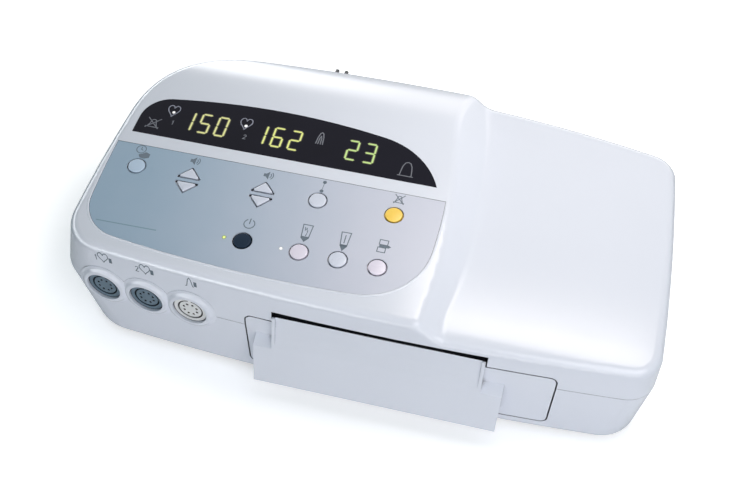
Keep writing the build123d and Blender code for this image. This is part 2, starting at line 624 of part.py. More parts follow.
# Keys: cap, retaining flange under the skin, stem down to its switch
FLANGE_TOP_N = -WALL - 0.35
STEM_END_N = BOARD_N + SWITCH_H + SWITCH_PLUNGER_H + KEY_TRAVEL + 0.15
switches = []
for name, (u, v) in ROUND_KEYS.items():
    cap = panel_disc(u, v, KEY_D, FLANGE_TOP_N, KEY_PROUD)
    cap = fillet(circles_at(cap, on_panel(u, v, KEY_PROUD)), 0.6)
    cap += panel_disc(u, v, KEY_D + 2 * KEY_FLANGE, FLANGE_TOP_N - KEY_FLANGE_T, FLANGE_TOP_N)
    cap += panel_disc(u, v, KEY_STEM_D, STEM_END_N, FLANGE_TOP_N)
    keep(f"key_{name}", cap)
    switches.append((u, v))
for name, u in TRIANGLE_KEYS.items():
    for direction in ("up", "down"):
        v = TRIANGLE_CENTRE_V[direction]
        middle = v - (1.2 if direction == "up" else -1.2)
        cap = triangle(u, direction, 0, FLANGE_TOP_N, KEY_PROUD)
        crown = cap.faces().sort_by(Axis(origin=(0, 0, 0), direction=tuple(PANEL.z_dir)))[-1].edges()
        cap = fillet(crown, 0.5)
        cap += triangle(u, direction, 0.9, FLANGE_TOP_N - KEY_FLANGE_T, FLANGE_TOP_N)
        cap += panel_disc(u, middle, 4.0, STEM_END_N, FLANGE_TOP_N)
        keep(f"key_{name}_{direction}", cap)
        switches.append((u, middle))

# Display board with its switches, lamps and digit modules
board = prism([(BOARD_U0, BOARD_V0), (BOARD_U1, BOARD_V0), (BOARD_U1, BOARD_V1), (BOARD_U0 + 24, BOARD_V1),
               (BOARD_U0, BOARD_V1 - 24)], PANEL, BOARD_N - BOARD_T, BOARD_N)
board -= [panel_disc(u, v, BOARD_PILOT_D + 0.8, BOARD_N - 3, BOARD_N + 1) for u, v in BOARD_FIXINGS]
keep("display_board", board)
switch_solids = []
for u, v in switches:
    base = panel_block(u, v, SWITCH_SIZE, SWITCH_SIZE, BOARD_N, BOARD_N + SWITCH_H)
    base += panel_disc(u, v, 3.4, BOARD_N + SWITCH_H, BOARD_N + SWITCH_H + SWITCH_PLUNGER_H)
    switch_solids.append(base)
keep("key_switches", Compound(switch_solids))
for name, (u, v) in LAMPS.items():
    pipe = panel_disc(u, v, LAMP_D, BOARD_N + 1.2, -0.1)
    pipe += panel_disc(u, v, LAMP_D + 1.6, BOARD_N, BOARD_N + 4)
    keep(f"lamp_{name}", pipe)
for name, (u, v) in DIGIT_CENTRES.items():
    width, height, depth = DIGIT_MODULE
    module = panel_block(u, v, width, height, DIGIT_FACE_N - depth, DIGIT_FACE_N)
    for side in (-1, 1):
        module += panel_block(u, v + side * (height / 2 - 1.9), width - 6, 2.5, BOARD_N, DIGIT_FACE_N - depth)
    keep(f"digit_module_{name}", module)

# Recorder door: the piece of the housing wall inside the opening, with blocks that carry the tray
door = (shell_outer - shell_inner) & door_blank
tray_blocks = []
for x0 in (-50.0, 16.0, 82.0):
    tray_blocks.append(block(x0, x0 + 16, FRONT_Y - 4, TRAY_Y0, 30, 50) & shell_inner)
door = door + tray_blocks
keep("recorder_door", door)

# Paper chute: a concave guide out of the slot, then a wider hollow pull lip


def side_face(points, arc=None):
    """Closed face in side view from straight runs, the first one optionally an arc through a point."""
    edges = []
    for k, start in enumerate(points):
        end = points[(k + 1) % len(points)]
        if k == 0 and arc:
            edges.append(Edge.make_three_point_arc((0, *start), (0, *arc), (0, *end)))
        else:
            edges.append(Edge.make_line((0, *start), (0, *end)))
    return Face(Wire(edges))


def across(face, x0, x1):
    """Solid of a side-view face carried from x0 to x1."""
    return extrude(face.moved(Location((x0, 0, 0))), amount=x1 - x0, dir=(1, 0, 0))


guide_x0, guide_x1 = SLOT_X0 + DOOR_GAP, SLOT_X1 - DOOR_GAP
behind_y = CHUTE_TOP[0] + 14
guide = across(side_face([CHUTE_TOP, CHUTE_BEND, (behind_y, CHUTE_BEND[1]), (behind_y, CHUTE_TOP[1])], CHUTE_HOLLOW),
               guide_x0, guide_x1)
guide_cheek = side_face([(CHUTE_TOP[0] - 1.8, CHUTE_TOP[1]), CHUTE_BEND, (behind_y, CHUTE_BEND[1]),
                         (behind_y, CHUTE_TOP[1])])
lip_face_y = CHUTE_BEND[0] + (CHUTE_FOOT[0] - CHUTE_BEND[0]) * (CHUTE_BEND[1] - LIP_TOP_Z) / (CHUTE_BEND[1] - CHUTE_FOOT[1])
lip_top = (lip_face_y, LIP_TOP_Z)
lip_plate = side_face([lip_top, CHUTE_FOOT, (CHUTE_FOOT[0] + CHUTE_T, CHUTE_FOOT[1]),
                       (lip_top[0] + CHUTE_T, LIP_TOP_Z)])
bend_block = side_face([CHUTE_BEND, lip_top, (behind_y, LIP_TOP_Z), (behind_y, CHUTE_BEND[1])])
shoulder_z = LIP_TOP_Z + LIP_SHOULDER
lip_roof = side_face([lip_top, (lip_top[0], LIP_TOP_Z - CHUTE_T), (behind_y, shoulder_z - CHUTE_T),
                      (behind_y, shoulder_z)])
lip_cheek = side_face([lip_top, CHUTE_FOOT, (CHUTE_FOOT[0] + 4.5, CHUTE_FOOT[1]), (behind_y, LIP_RETURN_Z),
                       (behind_y, shoulder_z)])
chute = guide + across(bend_block, guide_x0, guide_x1) + across(lip_plate, LIP_X0, LIP_X1)
chute += across(lip_roof, LIP_X0, LIP_X1)
for x in (guide_x0, guide_x1 - CHEEK_T):
    chute += across(guide_cheek, x, x + CHEEK_T)
for x in (LIP_X0, LIP_X1 - CHEEK_T):
    chute += across(lip_cheek, x, x + CHEEK_T)
chute -= shell_outer
chute = chute.solids().sort_by(SortBy.VOLUME)[-1]
foot_edges = [e for e in chute.edges() if e.length > 150 and e.center().Z < CHUTE_FOOT[1] + 0.1]
chute = fillet(foot_edges, CHUTE_T * 0.4)
keep("paper_chute", chute)

# Paper tray: raised cheeks carry the platen, runners behind keep it in the frame when it is out
tray = block(TRAY_X0, TRAY_X1, TRAY_Y0, TRAY_Y1, TRAY_FLOOR_Z, TRAY_TOP_Z)
tray -= block(TRAY_X0 + TRAY_WALL, TRAY_X1 - TRAY_WALL, TRAY_Y0 + TRAY_WALL, TRAY_Y1 - TRAY_WALL,
              TRAY_FLOOR_Z + TRAY_WALL, TRAY_TOP_Z + 1)
tray -= block(TRAY_X0 + 30, TRAY_X1 - 30, TRAY_Y1 - 10, TRAY_Y1 + 1, TRAY_FLOOR_Z + 14, TRAY_TOP_Z + 1)
cheek_y = PLATEN_Y + BUSHING_D / 2 + 3
cheek = [(TRAY_Y0, TRAY_TOP_Z - 4), (cheek_y + 10, TRAY_TOP_Z - 4), (cheek_y + 6, TRAY_TOP_Z), (cheek_y, CHEEK_TOP_Z),
         (TRAY_Y0, CHEEK_TOP_Z)]
bushings = []
for x in (TRAY_X0, TRAY_X1 - TRAY_WALL):
    tray += yz_prism(cheek, x, x + TRAY_WALL)
    tray += block(x, x + TRAY_WALL, TRAY_Y1 - 1, RUNNER_Y1, TRAY_FLOOR_Z, TRAY_FLOOR_Z + RUNNER_H)
    tray -= rod((x - 1, PLATEN_Y, PLATEN_Z), (1, 0, 0), BUSHING_D, TRAY_WALL + 2)
    ring = rod((x, PLATEN_Y, PLATEN_Z), (1, 0, 0), BUSHING_D, TRAY_WALL)
    bushings.append(ring - rod((x - 1, PLATEN_Y, PLATEN_Z), (1, 0, 0), SHAFT_D + 2 * RUNNING_CLEARANCE, TRAY_WALL + 2))
keep("paper_tray", tray)
keep("platen_bushings", Compound(bushings))

# Platen on its shaft
platen_x0 = TRAY_X0 + TRAY_WALL + PLATEN_SIDE_GAP
platen_x1 = TRAY_X1 - TRAY_WALL - PLATEN_SIDE_GAP
gear_x0 = TRAY_X1 + GEAR_SIDE_GAP
gear_x1 = gear_x0 + GEAR_WIDTH
roller = rod((platen_x0, PLATEN_Y, PLATEN_Z), (1, 0, 0), PLATEN_D, platen_x1 - platen_x0)
keep("platen_roller", roller - rod((platen_x0 - 1, PLATEN_Y, PLATEN_Z), (1, 0, 0), SHAFT_D, platen_x1 - platen_x0 + 2))
shaft_x0 = TRAY_X0 - SHAFT_OVERHANG
keep("platen_shaft", rod((shaft_x0, PLATEN_Y, PLATEN_Z), (1, 0, 0), SHAFT_D, gear_x1 + 0.6 - shaft_x0))


def spur_gear(teeth, bore, centre_y, turn):
    """Spur gear with involute flanks, its axis along X, one tooth at the given turn."""
    pitch_r = GEAR_MODULE * teeth / 2
    base_r = pitch_r * math.cos(math.radians(PRESSURE_ANGLE))
    tip_r, root_r = pitch_r + 0.9 * GEAR_MODULE, pitch_r - 1.2 * GEAR_MODULE
    half_at_pitch = (math.pi * GEAR_MODULE / 2 - GEAR_BACKLASH) / 2 / pitch_r

    def involute(r):
        if r <= base_r:
            return 0.0
        a = math.acos(base_r / r)
        return math.tan(a) - a

    steps = [root_r, max(base_r, root_r + 0.1), pitch_r - 0.2, pitch_r + 0.4, tip_r]
    half_widths = [half_at_pitch + involute(pitch_r) - involute(r) for r in steps]
    points = []
    for k in range(teeth):
        centre = math.radians(turn) + 2 * math.pi * k / teeth
        points += [(r, centre - half) for r, half in zip(steps, half_widths)]
        points += [(r, centre + half) for r, half in zip(steps[::-1], half_widths[::-1])]
    polygon = [(centre_y + r * math.cos(a), PLATEN_Z + r * math.sin(a)) for r, a in points]
    gear = yz_prism(polygon, gear_x0, gear_x1)
    return gear - rod((gear_x0 - 1, centre_y, PLATEN_Z), (1, 0, 0), bore, GEAR_WIDTH + 2)


idler_y = PLATEN_Y + GEAR_MODULE * (PLATEN_TEETH + IDLER_TEETH) / 2
pinion_y = idler_y + GEAR_MODULE * (IDLER_TEETH + PINION_TEETH) / 2
keep("platen_gear", spur_gear(PLATEN_TEETH, SHAFT_D, PLATEN_Y, 0))
keep("idler_gear", spur_gear(IDLER_TEETH, IDLER_PIN_D + 2 * RUNNING_CLEARANCE, idler_y, 180 / IDLER_TEETH))
keep("motor_pinion", spur_gear(PINION_TEETH, MOTOR_SHAFT_D, pinion_y, 0))

# Recorder frame: floor and ledges under the tray, side walls, rear wall, legs, idler stud
frame_x0 = TRAY_X0 - FRAME_SIDE_GAP - FRAME_T
frame_x1 = gear_x1 + 2.8 + FRAME_T
frame_floor = TRAY_FLOOR_Z - FRAME_CLEARANCE
frame = block(frame_x0, frame_x1, FRAME_Y0, FRAME_Y1, frame_floor - FRAME_T, frame_floor)
side_wall = [(FRAME_Y0 + 2, frame_floor), (FRAME_Y1, frame_floor), (FRAME_Y1, frame_floor + 20), (-24.0, frame_floor + 20),
             (-44.0, FRAME_TOP_Z), (PLATEN_Y + 10, FRAME_TOP_Z), (PLATEN_Y + 6, 60.0), (FRAME_Y0 + 2, 40.0)]
frame += yz_prism(side_wall, frame_x0, frame_x0 + FRAME_T)
frame += yz_prism(side_wall, frame_x1 - FRAME_T, frame_x1)
frame += block(frame_x0, frame_x1, FRAME_Y1 - FRAME_T, FRAME_Y1, frame_floor, frame_floor + 20)
for x0, x1 in ((frame_x0 + FRAME_T, TRAY_X0 - FRAME_CLEARANCE), (TRAY_X1 + FRAME_CLEARANCE, frame_x1 - FRAME_T)):
    frame += block(x0, x1, FRAME_Y0 + 8, FRAME_Y1 - FRAME_T, frame_floor, frame_floor + 6)
for x in (frame_x0 + 9, frame_x1 - 9):
    for y in (FRAME_Y0 + 12, FRAME_Y1 - 14):
        frame += rod((x, y, FLOOR_Z), (0, 0, 1), FRAME_LEG_D, frame_floor - FRAME_T - FLOOR_Z)
frame -= rod((frame_x1 - 5, pinion_y, PLATEN_Z), (1, 0, 0), MOTOR_HUB_D + 0.4, 10)
frame += rod((gear_x0 - 0.8, idler_y, PLATEN_Z), (1, 0, 0), IDLER_PIN_D, frame_x1 - gear_x0)
frame += rod((gear_x1 + 0.4, idler_y, PLATEN_Z), (1, 0, 0), IDLER_PIN_D + 3, frame_x1 - FRAME_T - gear_x1)
keep("recorder_frame", frame)

# Motor bolted to the outside of the frame, its shaft in a running fit
motor = rod((frame_x1, pinion_y, PLATEN_Z), (1, 0, 0), MOTOR_D, MOTOR_LENGTH)
motor = fillet([e for e in motor.edges() if e.geom_type == GeomType.CIRCLE], 1.5)
motor += rod((frame_x1 + MOTOR_LENGTH, pinion_y, PLATEN_Z), (1, 0, 0), 12, 2)
motor += rod((frame_x1 - FRAME_T - 0.4, pinion_y, PLATEN_Z), (1, 0, 0), MOTOR_HUB_D, FRAME_T + 1)
motor -= rod((frame_x1 - 5, pinion_y, PLATEN_Z), (1, 0, 0), MOTOR_SHAFT_D + 2 * RUNNING_CLEARANCE, 15.3)
keep("stepper_motor", motor)
keep("motor_shaft", rod((gear_x0 - 0.6, pinion_y, PLATEN_Z), (1, 0, 0), MOTOR_SHAFT_D, frame_x1 + 10 - gear_x0 + 0.6))

# Thermal print head behind the platen, carried by a finned bracket that spans the frame
head_turn = math.radians(HEAD_ANGLE)
head_reach = PLATEN_D / 2 + HEAD_CLEARANCE
head_plane = Plane(origin=((platen_x0 + platen_x1) / 2, PLATEN_Y + head_reach * math.cos(head_turn),
                           PLATEN_Z + head_reach * math.sin(head_turn)),
                   x_dir=(1, 0, 0), z_dir=(0, math.cos(head_turn), math.sin(head_turn)))
half_head = (platen_x1 - platen_x0) / 2


def head_slab(half, v0, v1, near, far):
    """Slab on the print head plane, symmetric across the paper."""
    return prism([(-half, v0), (half, v0), (half, v1), (-half, v1)], head_plane, near, far)


keep("print_head", head_slab(half_head, -HEAD_UP, HEAD_DOWN, 0, HEAD_T))
carrier = head_slab(half_head, -HEAD_UP + 2, HEAD_DOWN - 1, HEAD_T, HEAD_T + 3)
for k in range(4):
    v = -HEAD_UP + 3 + k * 5
    carrier += head_slab(half_head - 3, v, v + 1.6, HEAD_T + 2.9, HEAD_T + 9)
bar_y, bar_z = idler_y + 4, FRAME_TOP_Z - 1
carrier += block(frame_x0 + FRAME_T, frame_x1 - FRAME_T, bar_y, bar_y + 3, bar_z - 4, bar_z)
for x in (platen_x0 + 20, platen_x1 - 24):
    carrier += block(x, x + 4, head_plane.origin.Y + 4, bar_y + 1, bar_z - 8, bar_z)
carrier -= head_slab(half_head + 1, -HEAD_UP - 5, HEAD_DOWN + 5, -9, HEAD_T)
keep("head_bracket", carrier)

# Main board on standoffs
board_z = FLOOR_Z + MAIN_STANDOFF_H
standoff_xy = [(MAIN_BOARD_X0 + dx, MAIN_BOARD_Y0 + dy) for dx in (6, MAIN_BOARD_W - 6) for dy in (6, MAIN_BOARD_H - 6)]
main_board = block(MAIN_BOARD_X0, MAIN_BOARD_X0 + MAIN_BOARD_W, MAIN_BOARD_Y0, MAIN_BOARD_Y0 + MAIN_BOARD_H,
                   board_z, board_z + BOARD_T)
keep("main_board", main_board)
keep("board_standoffs", Compound([rod((x, y, FLOOR_Z), (0, 0, 1), STANDOFF_D, MAIN_STANDOFF_H) for x, y in standoff_xy]))


def chip(dx, dy, width, depth, height):
    """Component on the main board, placed from the board's front left corner."""
    x, y, z = MAIN_BOARD_X0 + dx, MAIN_BOARD_Y0 + dy, board_z + BOARD_T
    return block(x, x + width, y, y + depth, z, z + height)


keep("main_board_chips", Compound([chip(20, 14, 28, 28, 2.8), chip(58, 8, 20, 14, 3.4), chip(58, 28, 20, 14, 3.4),
                                   chip(14, 48, 64, 7, 9.0)]))

# Supply board with transformer and capacitors
supply_z = FLOOR_Z + SUPPLY_STANDOFF_H
supply = block(SUPPLY_X0, SUPPLY_X0 + SUPPLY_W, SUPPLY_Y0, SUPPLY_Y0 + SUPPLY_H, supply_z, supply_z + BOARD_T)
for dx, dy in ((6, 8), (6, 36), (SUPPLY_W - 6, 8), (SUPPLY_W - 6, SUPPLY_H - 6)):
    supply += rod((SUPPLY_X0 + dx, SUPPLY_Y0 + dy, FLOOR_Z), (0, 0, 1), STANDOFF_D, SUPPLY_STANDOFF_H)
keep("power_supply_board", supply)
core_x, core_y, core_z = SUPPLY_X0 + 6, SUPPLY_Y0 + 12, supply_z + BOARD_T
core = block(core_x, core_x + 44, core_y, core_y + 40, core_z, core_z + 35)
window_a = block(core_x + 9, core_x + 18, core_y - 4, core_y + 44, core_z + 8, core_z + 27)
keep("transformer_core", core - window_a - window_a.moved(Location((17, 0, 0))))
coil = block(core_x + 9, core_x + 35, core_y - 6, core_y + 46, core_z + 8, core_z + 27)
coil -= block(core_x + 18, core_x + 26, core_y, core_y + 40, core_z + 7, core_z + 28)
coil = fillet([e for e in coil.edges().filter_by(Axis.Z) if e.center().Y < core_y - 5 or e.center().Y > core_y + 45], 5)
keep("transformer_coil", coil)
keep("supply_capacitors", Compound([rod((SUPPLY_X0 + 62, SUPPLY_Y0 + dy, core_z), (0, 0, 1), 16, 30) for dy in (18, 40)]))

# Speaker over its slots in the floor: flange, cone basket and magnet
speaker = rod((SPEAKER_X, SPEAKER_Y, FLOOR_Z), (0, 0, 1), SPEAKER_D, 3)
speaker += Solid.make_cone(SPEAKER_D / 2 - 2, 14, 12, Plane(origin=(SPEAKER_X, SPEAKER_Y, FLOOR_Z + 3)))
speaker += rod((SPEAKER_X, SPEAKER_Y, FLOOR_Z + 14.9), (0, 0, 1), 32, 9)
speaker -= Solid.make_cone(SPEAKER_D / 2 - 5, 8, 11, Plane(origin=(SPEAKER_X, SPEAKER_Y, FLOOR_Z - 0.01)))
keep("speaker", speaker)

# Rear connector plate, mains inlet, data ports, earth stud and call terminals
plate = block(REAR_X0 + REAR_PLATE_GAP, REAR_X1 - REAR_PLATE_GAP, REAR_PLATE_Y, REAR_PLATE_Y + REAR_PLATE_T,
              REAR_Z0 + REAR_PLATE_GAP, REAR_Z1 - REAR_PLATE_GAP)
plate_face = REAR_PLATE_Y + REAR_PLATE_T
plate -= block(INLET_X - INLET_W / 2, INLET_X + INLET_W / 2, REAR_PLATE_Y - 2, plate_face + 3,
               REAR_Z - INLET_H / 2, REAR_Z + INLET_H / 2)
for x in PORT_X:
    plate -= block(x - PORT_W / 2, x + PORT_W / 2, REAR_PLATE_Y - 2, plate_face + 3, REAR_Z - PORT_H / 2, REAR_Z + PORT_H / 2)
keep("rear_plate", plate)
inlet = block(INLET_X - INLET_W / 2 + 0.2, INLET_X + INLET_W / 2 - 0.2, plate_face - INLET_DEPTH - 2, plate_face,
              REAR_Z - INLET_H / 2 + 0.2, REAR_Z + INLET_H / 2 - 0.2)
inlet += block(INLET_X - INLET_W / 2 - 2.5, INLET_X + INLET_W / 2 + 2.5, plate_face, plate_face + 1.8,
               REAR_Z - INLET_H / 2 - 2.5, REAR_Z + INLET_H / 2 + 2.5)
cavity = [(-12, -8), (12, -8), (12, 3.5), (7.5, 8), (-7.5, 8), (-12, 3.5)]
inlet_floor = plate_face + 1.8 - INLET_DEPTH
inlet -= prism(cavity, Plane(origin=(INLET_X, inlet_floor, REAR_Z), x_dir=(-1, 0, 0), z_dir=(0, 1, 0)), 0, 30)
keep("mains_inlet", inlet)
keep("mains_pins", Compound([
    block(INLET_X + dx - 1, INLET_X + dx + 1, inlet_floor, plate_face - 3, REAR_Z + dz - 2, REAR_Z + dz + 2)
    for dx, dz in ((-7, -2.5), (7, -2.5), (0, 2.5))]))
ports = []
for x in PORT_X:
    port = block(x - PORT_W / 2 + 0.2, x + PORT_W / 2 - 0.2, REAR_PLATE_Y - 8, plate_face,
                 REAR_Z - PORT_H / 2 + 0.2, REAR_Z + PORT_H / 2 - 0.2)
    port += block(x - PORT_W / 2 - 5.5, x + PORT_W / 2 + 5.5, plate_face, plate_face + 1, REAR_Z - 6.2, REAR_Z + 6.2)
    port += block(x - 8.4, x + 8.4, plate_face, plate_face + 3.5, REAR_Z - 4.2, REAR_Z + 4.2)
    ports.append(port)
keep("data_ports", Compound(ports))
keep("earth_stud", rod((EARTH_X, plate_face, REAR_Z), (0, 1, 0), EARTH_COLLAR_D, 2.0)
     + rod((EARTH_X, plate_face, REAR_Z), (0, 1, 0), EARTH_PIN_D, 2.0 + EARTH_PIN_LENGTH))
terminals = [rod((x, BACK_Y - 14, TERMINAL_Z), (0, 1, 0), TERMINAL_D, 14.0 + TERMINAL_PROUD) - upper_outer for x in TERMINAL_X]
keep("rear_terminals", Compound([t.solids().sort_by(Axis.Y)[-1] for t in terminals]))

# Feet and screws
feet = []
for x, y in FOOT_XY:
    foot = rod((x, y, 0), (0, 0, 1), FOOT_D, FEET_HEIGHT + FOOT_SEAT)
    foot = fillet([e for e in foot.edges() if e.center().Z < 0.01], 1.0)
    feet.append(foot)
keep("rubber_feet", Compound(feet))
screws = []
for x, y in BOSS_XY:
    screw = rod((x, y, head_seat_z), (0, 0, 1), SCREW_HEAD_D, SCREW_HEAD_H)
    screw += rod((x, y, head_seat_z + SCREW_HEAD_H), (0, 0, 1), SCREW_D - 0.7, SEAM_Z - head_seat_z - SCREW_HEAD_H + 10)
    screw -= block(x - 0.5, x + 0.5, y - 2, y + 2, head_seat_z - 1, head_seat_z + 1)
    screws.append(screw)
keep("housing_screws", Compound(screws))

to_footprint = Location((-FOOTPRINT_MIDDLE[0], -FOOTPRINT_MIDDLE[1], 0))
for name, shape in PARTS.items():
    export_step(shape.moved(to_footprint), f"parts/{name}.step")
print(len(PARTS), "pieces written")
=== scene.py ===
"""Bedside fetal monitor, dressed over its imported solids.

The solids come in as the frame. Each piece made here is a surface worked out with
numpy, sits where the frame says, and rides on a body of the frame. Sizes are in
millimetres in the text and in metres in the meshes. X runs to the right seen from the
front, Y to the back, Z up from the table.
"""

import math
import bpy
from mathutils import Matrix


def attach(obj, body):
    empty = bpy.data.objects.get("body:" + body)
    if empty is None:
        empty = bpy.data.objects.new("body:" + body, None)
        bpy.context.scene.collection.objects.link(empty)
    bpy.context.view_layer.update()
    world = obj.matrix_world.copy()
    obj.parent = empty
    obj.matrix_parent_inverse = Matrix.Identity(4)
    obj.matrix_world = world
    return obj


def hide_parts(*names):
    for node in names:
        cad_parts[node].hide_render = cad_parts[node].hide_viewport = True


bl_info = {
    "name": "Fetal monitor dressing",
    "version": (1, 0, 0),
    "blender": (4, 5, 0),
    "location": "View3D > Sidebar > Monitor",
    "description": "Key caps, digits, printed symbols, trims and finishes of a bedside fetal monitor",
    "category": "Add Mesh",
}

import bmesh
import bpy
import numpy as np
from mathutils import Matrix, Vector

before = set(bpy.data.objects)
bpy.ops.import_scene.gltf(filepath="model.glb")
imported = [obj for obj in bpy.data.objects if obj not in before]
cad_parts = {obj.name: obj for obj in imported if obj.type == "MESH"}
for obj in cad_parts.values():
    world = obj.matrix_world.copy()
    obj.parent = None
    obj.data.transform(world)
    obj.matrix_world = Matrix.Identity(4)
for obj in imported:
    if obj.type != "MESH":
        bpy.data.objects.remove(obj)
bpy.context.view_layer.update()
MM = 0.001

# Control panel: a point on its plane above the middle of the housing, and its tilt
PANEL_POINT = np.array([3.5, 5.33, 114.3])
PANEL_TILT = math.radians(4.1)
PANEL_AXES = np.array([
    [1.0, 0.0, 0.0],
    [0.0, math.cos(PANEL_TILT), math.sin(PANEL_TILT)],
    [0.0, -math.sin(PANEL_TILT), math.cos(PANEL_TILT)],
])

# Edges: solids closer together than the weld are one, pieces and solids are smooth up to these angles, and
# a bevel starts at the last
WELD_MM = 0.002
PIECE_SHARP, SOLID_SHARP, BEVEL_FROM = (math.radians(a) for a in (35.0, 28.0, 38.0))

# Housing plastic, plain and with painted shade, near black, on its face in the paper slot
WHITE, SLOT_SHADED = "ABS moulded glossy cool white", "ABS moulded white with painted slot shade"

# Seams: painted shade in narrow gaps, its reach, the openness at which it is full and gone, and how dark it
# gets
SEAM_MM, SEAM_CLOSED, SEAM_OPEN, SEAM_PAINTED_SHADE = 10.0, 0.3, 0.56, 0.05

# Chute: heights of its foot, bend, hollow and top, its front at foot and bend, how far its top lies behind
# the bend, the shifts of bend and top, and the depths behind the front between which they fade
CHUTE_HEIGHTS, CHUTE_FRONT_Y, CHUTE_TOP_BACK = (16.5, 57.0, 69.0, 82.4), (-131.87, -126.27), 10.1
BEND_IN, TOP_IN, FADE_DEPTH = 3.4, 0.9, (2.8, 7.0)

# Slot face: painted shade, near black above this height, behind this depth and where the normal looks up this
# much
GUIDE_ABOVE_Z, GUIDE_BEHIND_Y, GUIDE_UPWARD = 80.6, -115.7, 0.8

# Keypad sheet: where its colour, painted shade at the left and painted light at the right, starts and stops
# changing along X, in metres
OVERLAY_SHADE_SPAN = (-0.205, 0.035)

# Length of one wave of the wave texture at scale one
WAVE_PERIOD = 2 * math.pi / 20

# Camera of the photograph
CAMERA_PLACE = (0.1071, -0.49577, 0.6733)
CAMERA_YAW, CAMERA_PITCH, CAMERA_ROLL = (math.radians(a) for a in (-13.0, 51.6, -0.9))
CAMERA_LENS = 48.98


def linear(text):
    """Linear colour of an sRGB hex value: each channel through the sRGB curve."""
    value = np.array([int(text[k:k + 2], 16) for k in (0, 2, 4)]) / 255
    return tuple(np.where(value <= 0.04045, value / 12.92, ((value + 0.055) / 1.055) ** 2.4).tolist())


def colour(label, text, description):
    """Colour property whose default is an sRGB hex value."""
    return bpy.props.FloatVectorProperty(name=label, description=description, subtype="COLOR", size=3,
                                         min=0.0, max=1.0, default=linear(text))


def length(label, millimetres, description):
    """Length property whose default is given in millimetres."""
    return bpy.props.FloatProperty(name=label, description=description, subtype="DISTANCE", unit="LENGTH",
                                   min=0.0, default=millimetres * MM)


class MonitorSizes(bpy.types.PropertyGroup):
    """Sizes that a user would change."""

    key_width: length("Key width", 12.8, "Diameter of a round key cap")
    key_proud: length("Key height", 0.9, "How far a key stands above the panel")
    key_dome: length("Key dome", 0.35, "Rise of a key's crown over its edge")
    digit_height: length("Digit height", 20.0, "Height of a display digit")
    digit_width: length("Digit width", 7.6, "Width of a display digit between stroke centres")
    digit_stroke: length("Digit stroke", 1.4, "Width of one lit segment")
    digit_pitch: length("Digit pitch", 13.9, "Distance between neighbouring digits")
    digit_glow: length("Digit glow", 0.7, "How far a segment's glow reaches beyond the segment")
    line_width: length("Print line", 0.68, "Line width of the printed symbols")
    print_height: length("Print height", 0.04, "Thickness of the printed ink")
    bead_width: length("Recess bead width", 1.7, "Width of the moulded bead around the overlay")
    bead_height: length("Recess bead height", 0.45, "Height of the moulded bead around the overlay")


class MonitorColours(bpy.types.PropertyGroup):
    """Colours that a user would change."""

    housing: colour("Housing", "DDE1EC", "Cool white of the shells, door and chute")
    # Keypad sheet colours: painted shade at the left end, painted light at the right end
    overlay_shaded_left: colour("Overlay, left", "8EA6BA", "Keypad sheet at its left end")
    overlay_lit_right: colour("Overlay, right", "C3C6D4", "Keypad sheet at its right end")
    window: colour("Window", "14131D", "Smoked display window")
    digits_straw: colour("First digits", "C4C47E", "Lit segments of the first display")
    digits_yellow: colour("Second digits", "CDD274", "Lit segments of the second display")
    digits_green: colour("Third digits", "B0CC78", "Lit segments of the third display")
    digits_glow: colour("Digit glow", "34340C", "Glow around the lit segments")
    key_light: colour("Light keys", "D5DAE8", "Pale key caps")
    key_blue: colour("Setup key", "BCD0E5", "Setup key cap")
    key_pink: colour("Recorder keys", "E5DEED", "Record and print key caps")
    key_yellow: colour("Alarm key", "F8CE4E", "Alarm silence key cap")
    key_dark: colour("Power key", "16283A", "Power key cap")
    ink: colour("Printed ink", "56626D", "Symbols on the overlay and wall")
    ink_light: colour("Light ink", "7C7E8C", "Hearts and marks on the window")
    ink_dim: colour("Dim ink", "5C5E66", "Faint marks on the window")
    ink_line: colour("Line ink", "738C98", "Line under the panel's lower left")
    socket_grey: colour("Grey sockets", "5C707F", "First and second transducer socket")
    socket_ivory: colour("Ivory socket", "DDDEDF", "Third transducer socket")


# Surfaces

def grid_faces(rows, columns, wrap_rows=False, wrap_columns=False):
    """Quads between neighbouring points of a grid of rows and columns, joined round where wrapped."""
    row, column = np.arange(rows - (not wrap_rows)), np.arange(columns - (not wrap_columns))
    i, j = np.meshgrid(row, column, indexing="ij")
    k, m = (i + 1) % rows, (j + 1) % columns
    return np.stack([i * columns + j, i * columns + m, k * columns + m, k * columns + j], -1).reshape(-1, 4)


def lofted(rings, closed=False):
    """Surface through rings of points. An open row of rings is capped with its first and last ring."""
    rows, columns = rings.shape[:2]
    faces = grid_faces(rows, columns, closed, True).tolist()
    if not closed:
        faces += [list(range(columns)), list(range((rows - 1) * columns, rows * columns))]
    return rings.reshape(-1, 3), faces


def joined(parts):
    """Several surfaces as one list of points and faces."""
    points, faces, start = [], [], 0
    for part_points, part_faces in parts:
        points.append(part_points)
        faces += [[start + k for k in face] for face in part_faces]
        start += len(part_points)
    return np.concatenate(points), faces


def sideways(path, closed):
    """Mitred unit offset to the left of each point: the two neighbouring normals added and lengthened
    so that the offset line keeps its distance."""
    if closed:
        before, after = np.roll(path, 1, 0), np.roll(path, -1, 0)
    else:
        before = np.concatenate([2 * path[:1] - path[1:2], path[:-1]])
        after = np.concatenate([path[1:], 2 * path[-1:] - path[-2:-1]])

    def normal(run):
        """Unit normal to the left of each run."""
        run = run / np.linalg.norm(run, axis=1, keepdims=True)
        return np.stack([-run[:, 1], run[:, 0]], 1)

    a, b = normal(path - before), normal(after - path)
    return (a + b) / np.maximum(1 + (a * b).sum(1, keepdims=True), 0.3)


def stroke(path, width, low, high, closed=False):
    """Flat bar along a line: a rectangle, width across and from low to high, carried along the path."""
    path = np.asarray(path, float)
    out = sideways(path, closed) * width / 2
    flat = np.stack([path - out, path + out, path + out, path - out], 1)
    height = np.broadcast_to(np.array([low, low, high, high])[None, :, None], flat.shape[:2] + (1,))
    return lofted(np.concatenate([flat, height], -1), closed)


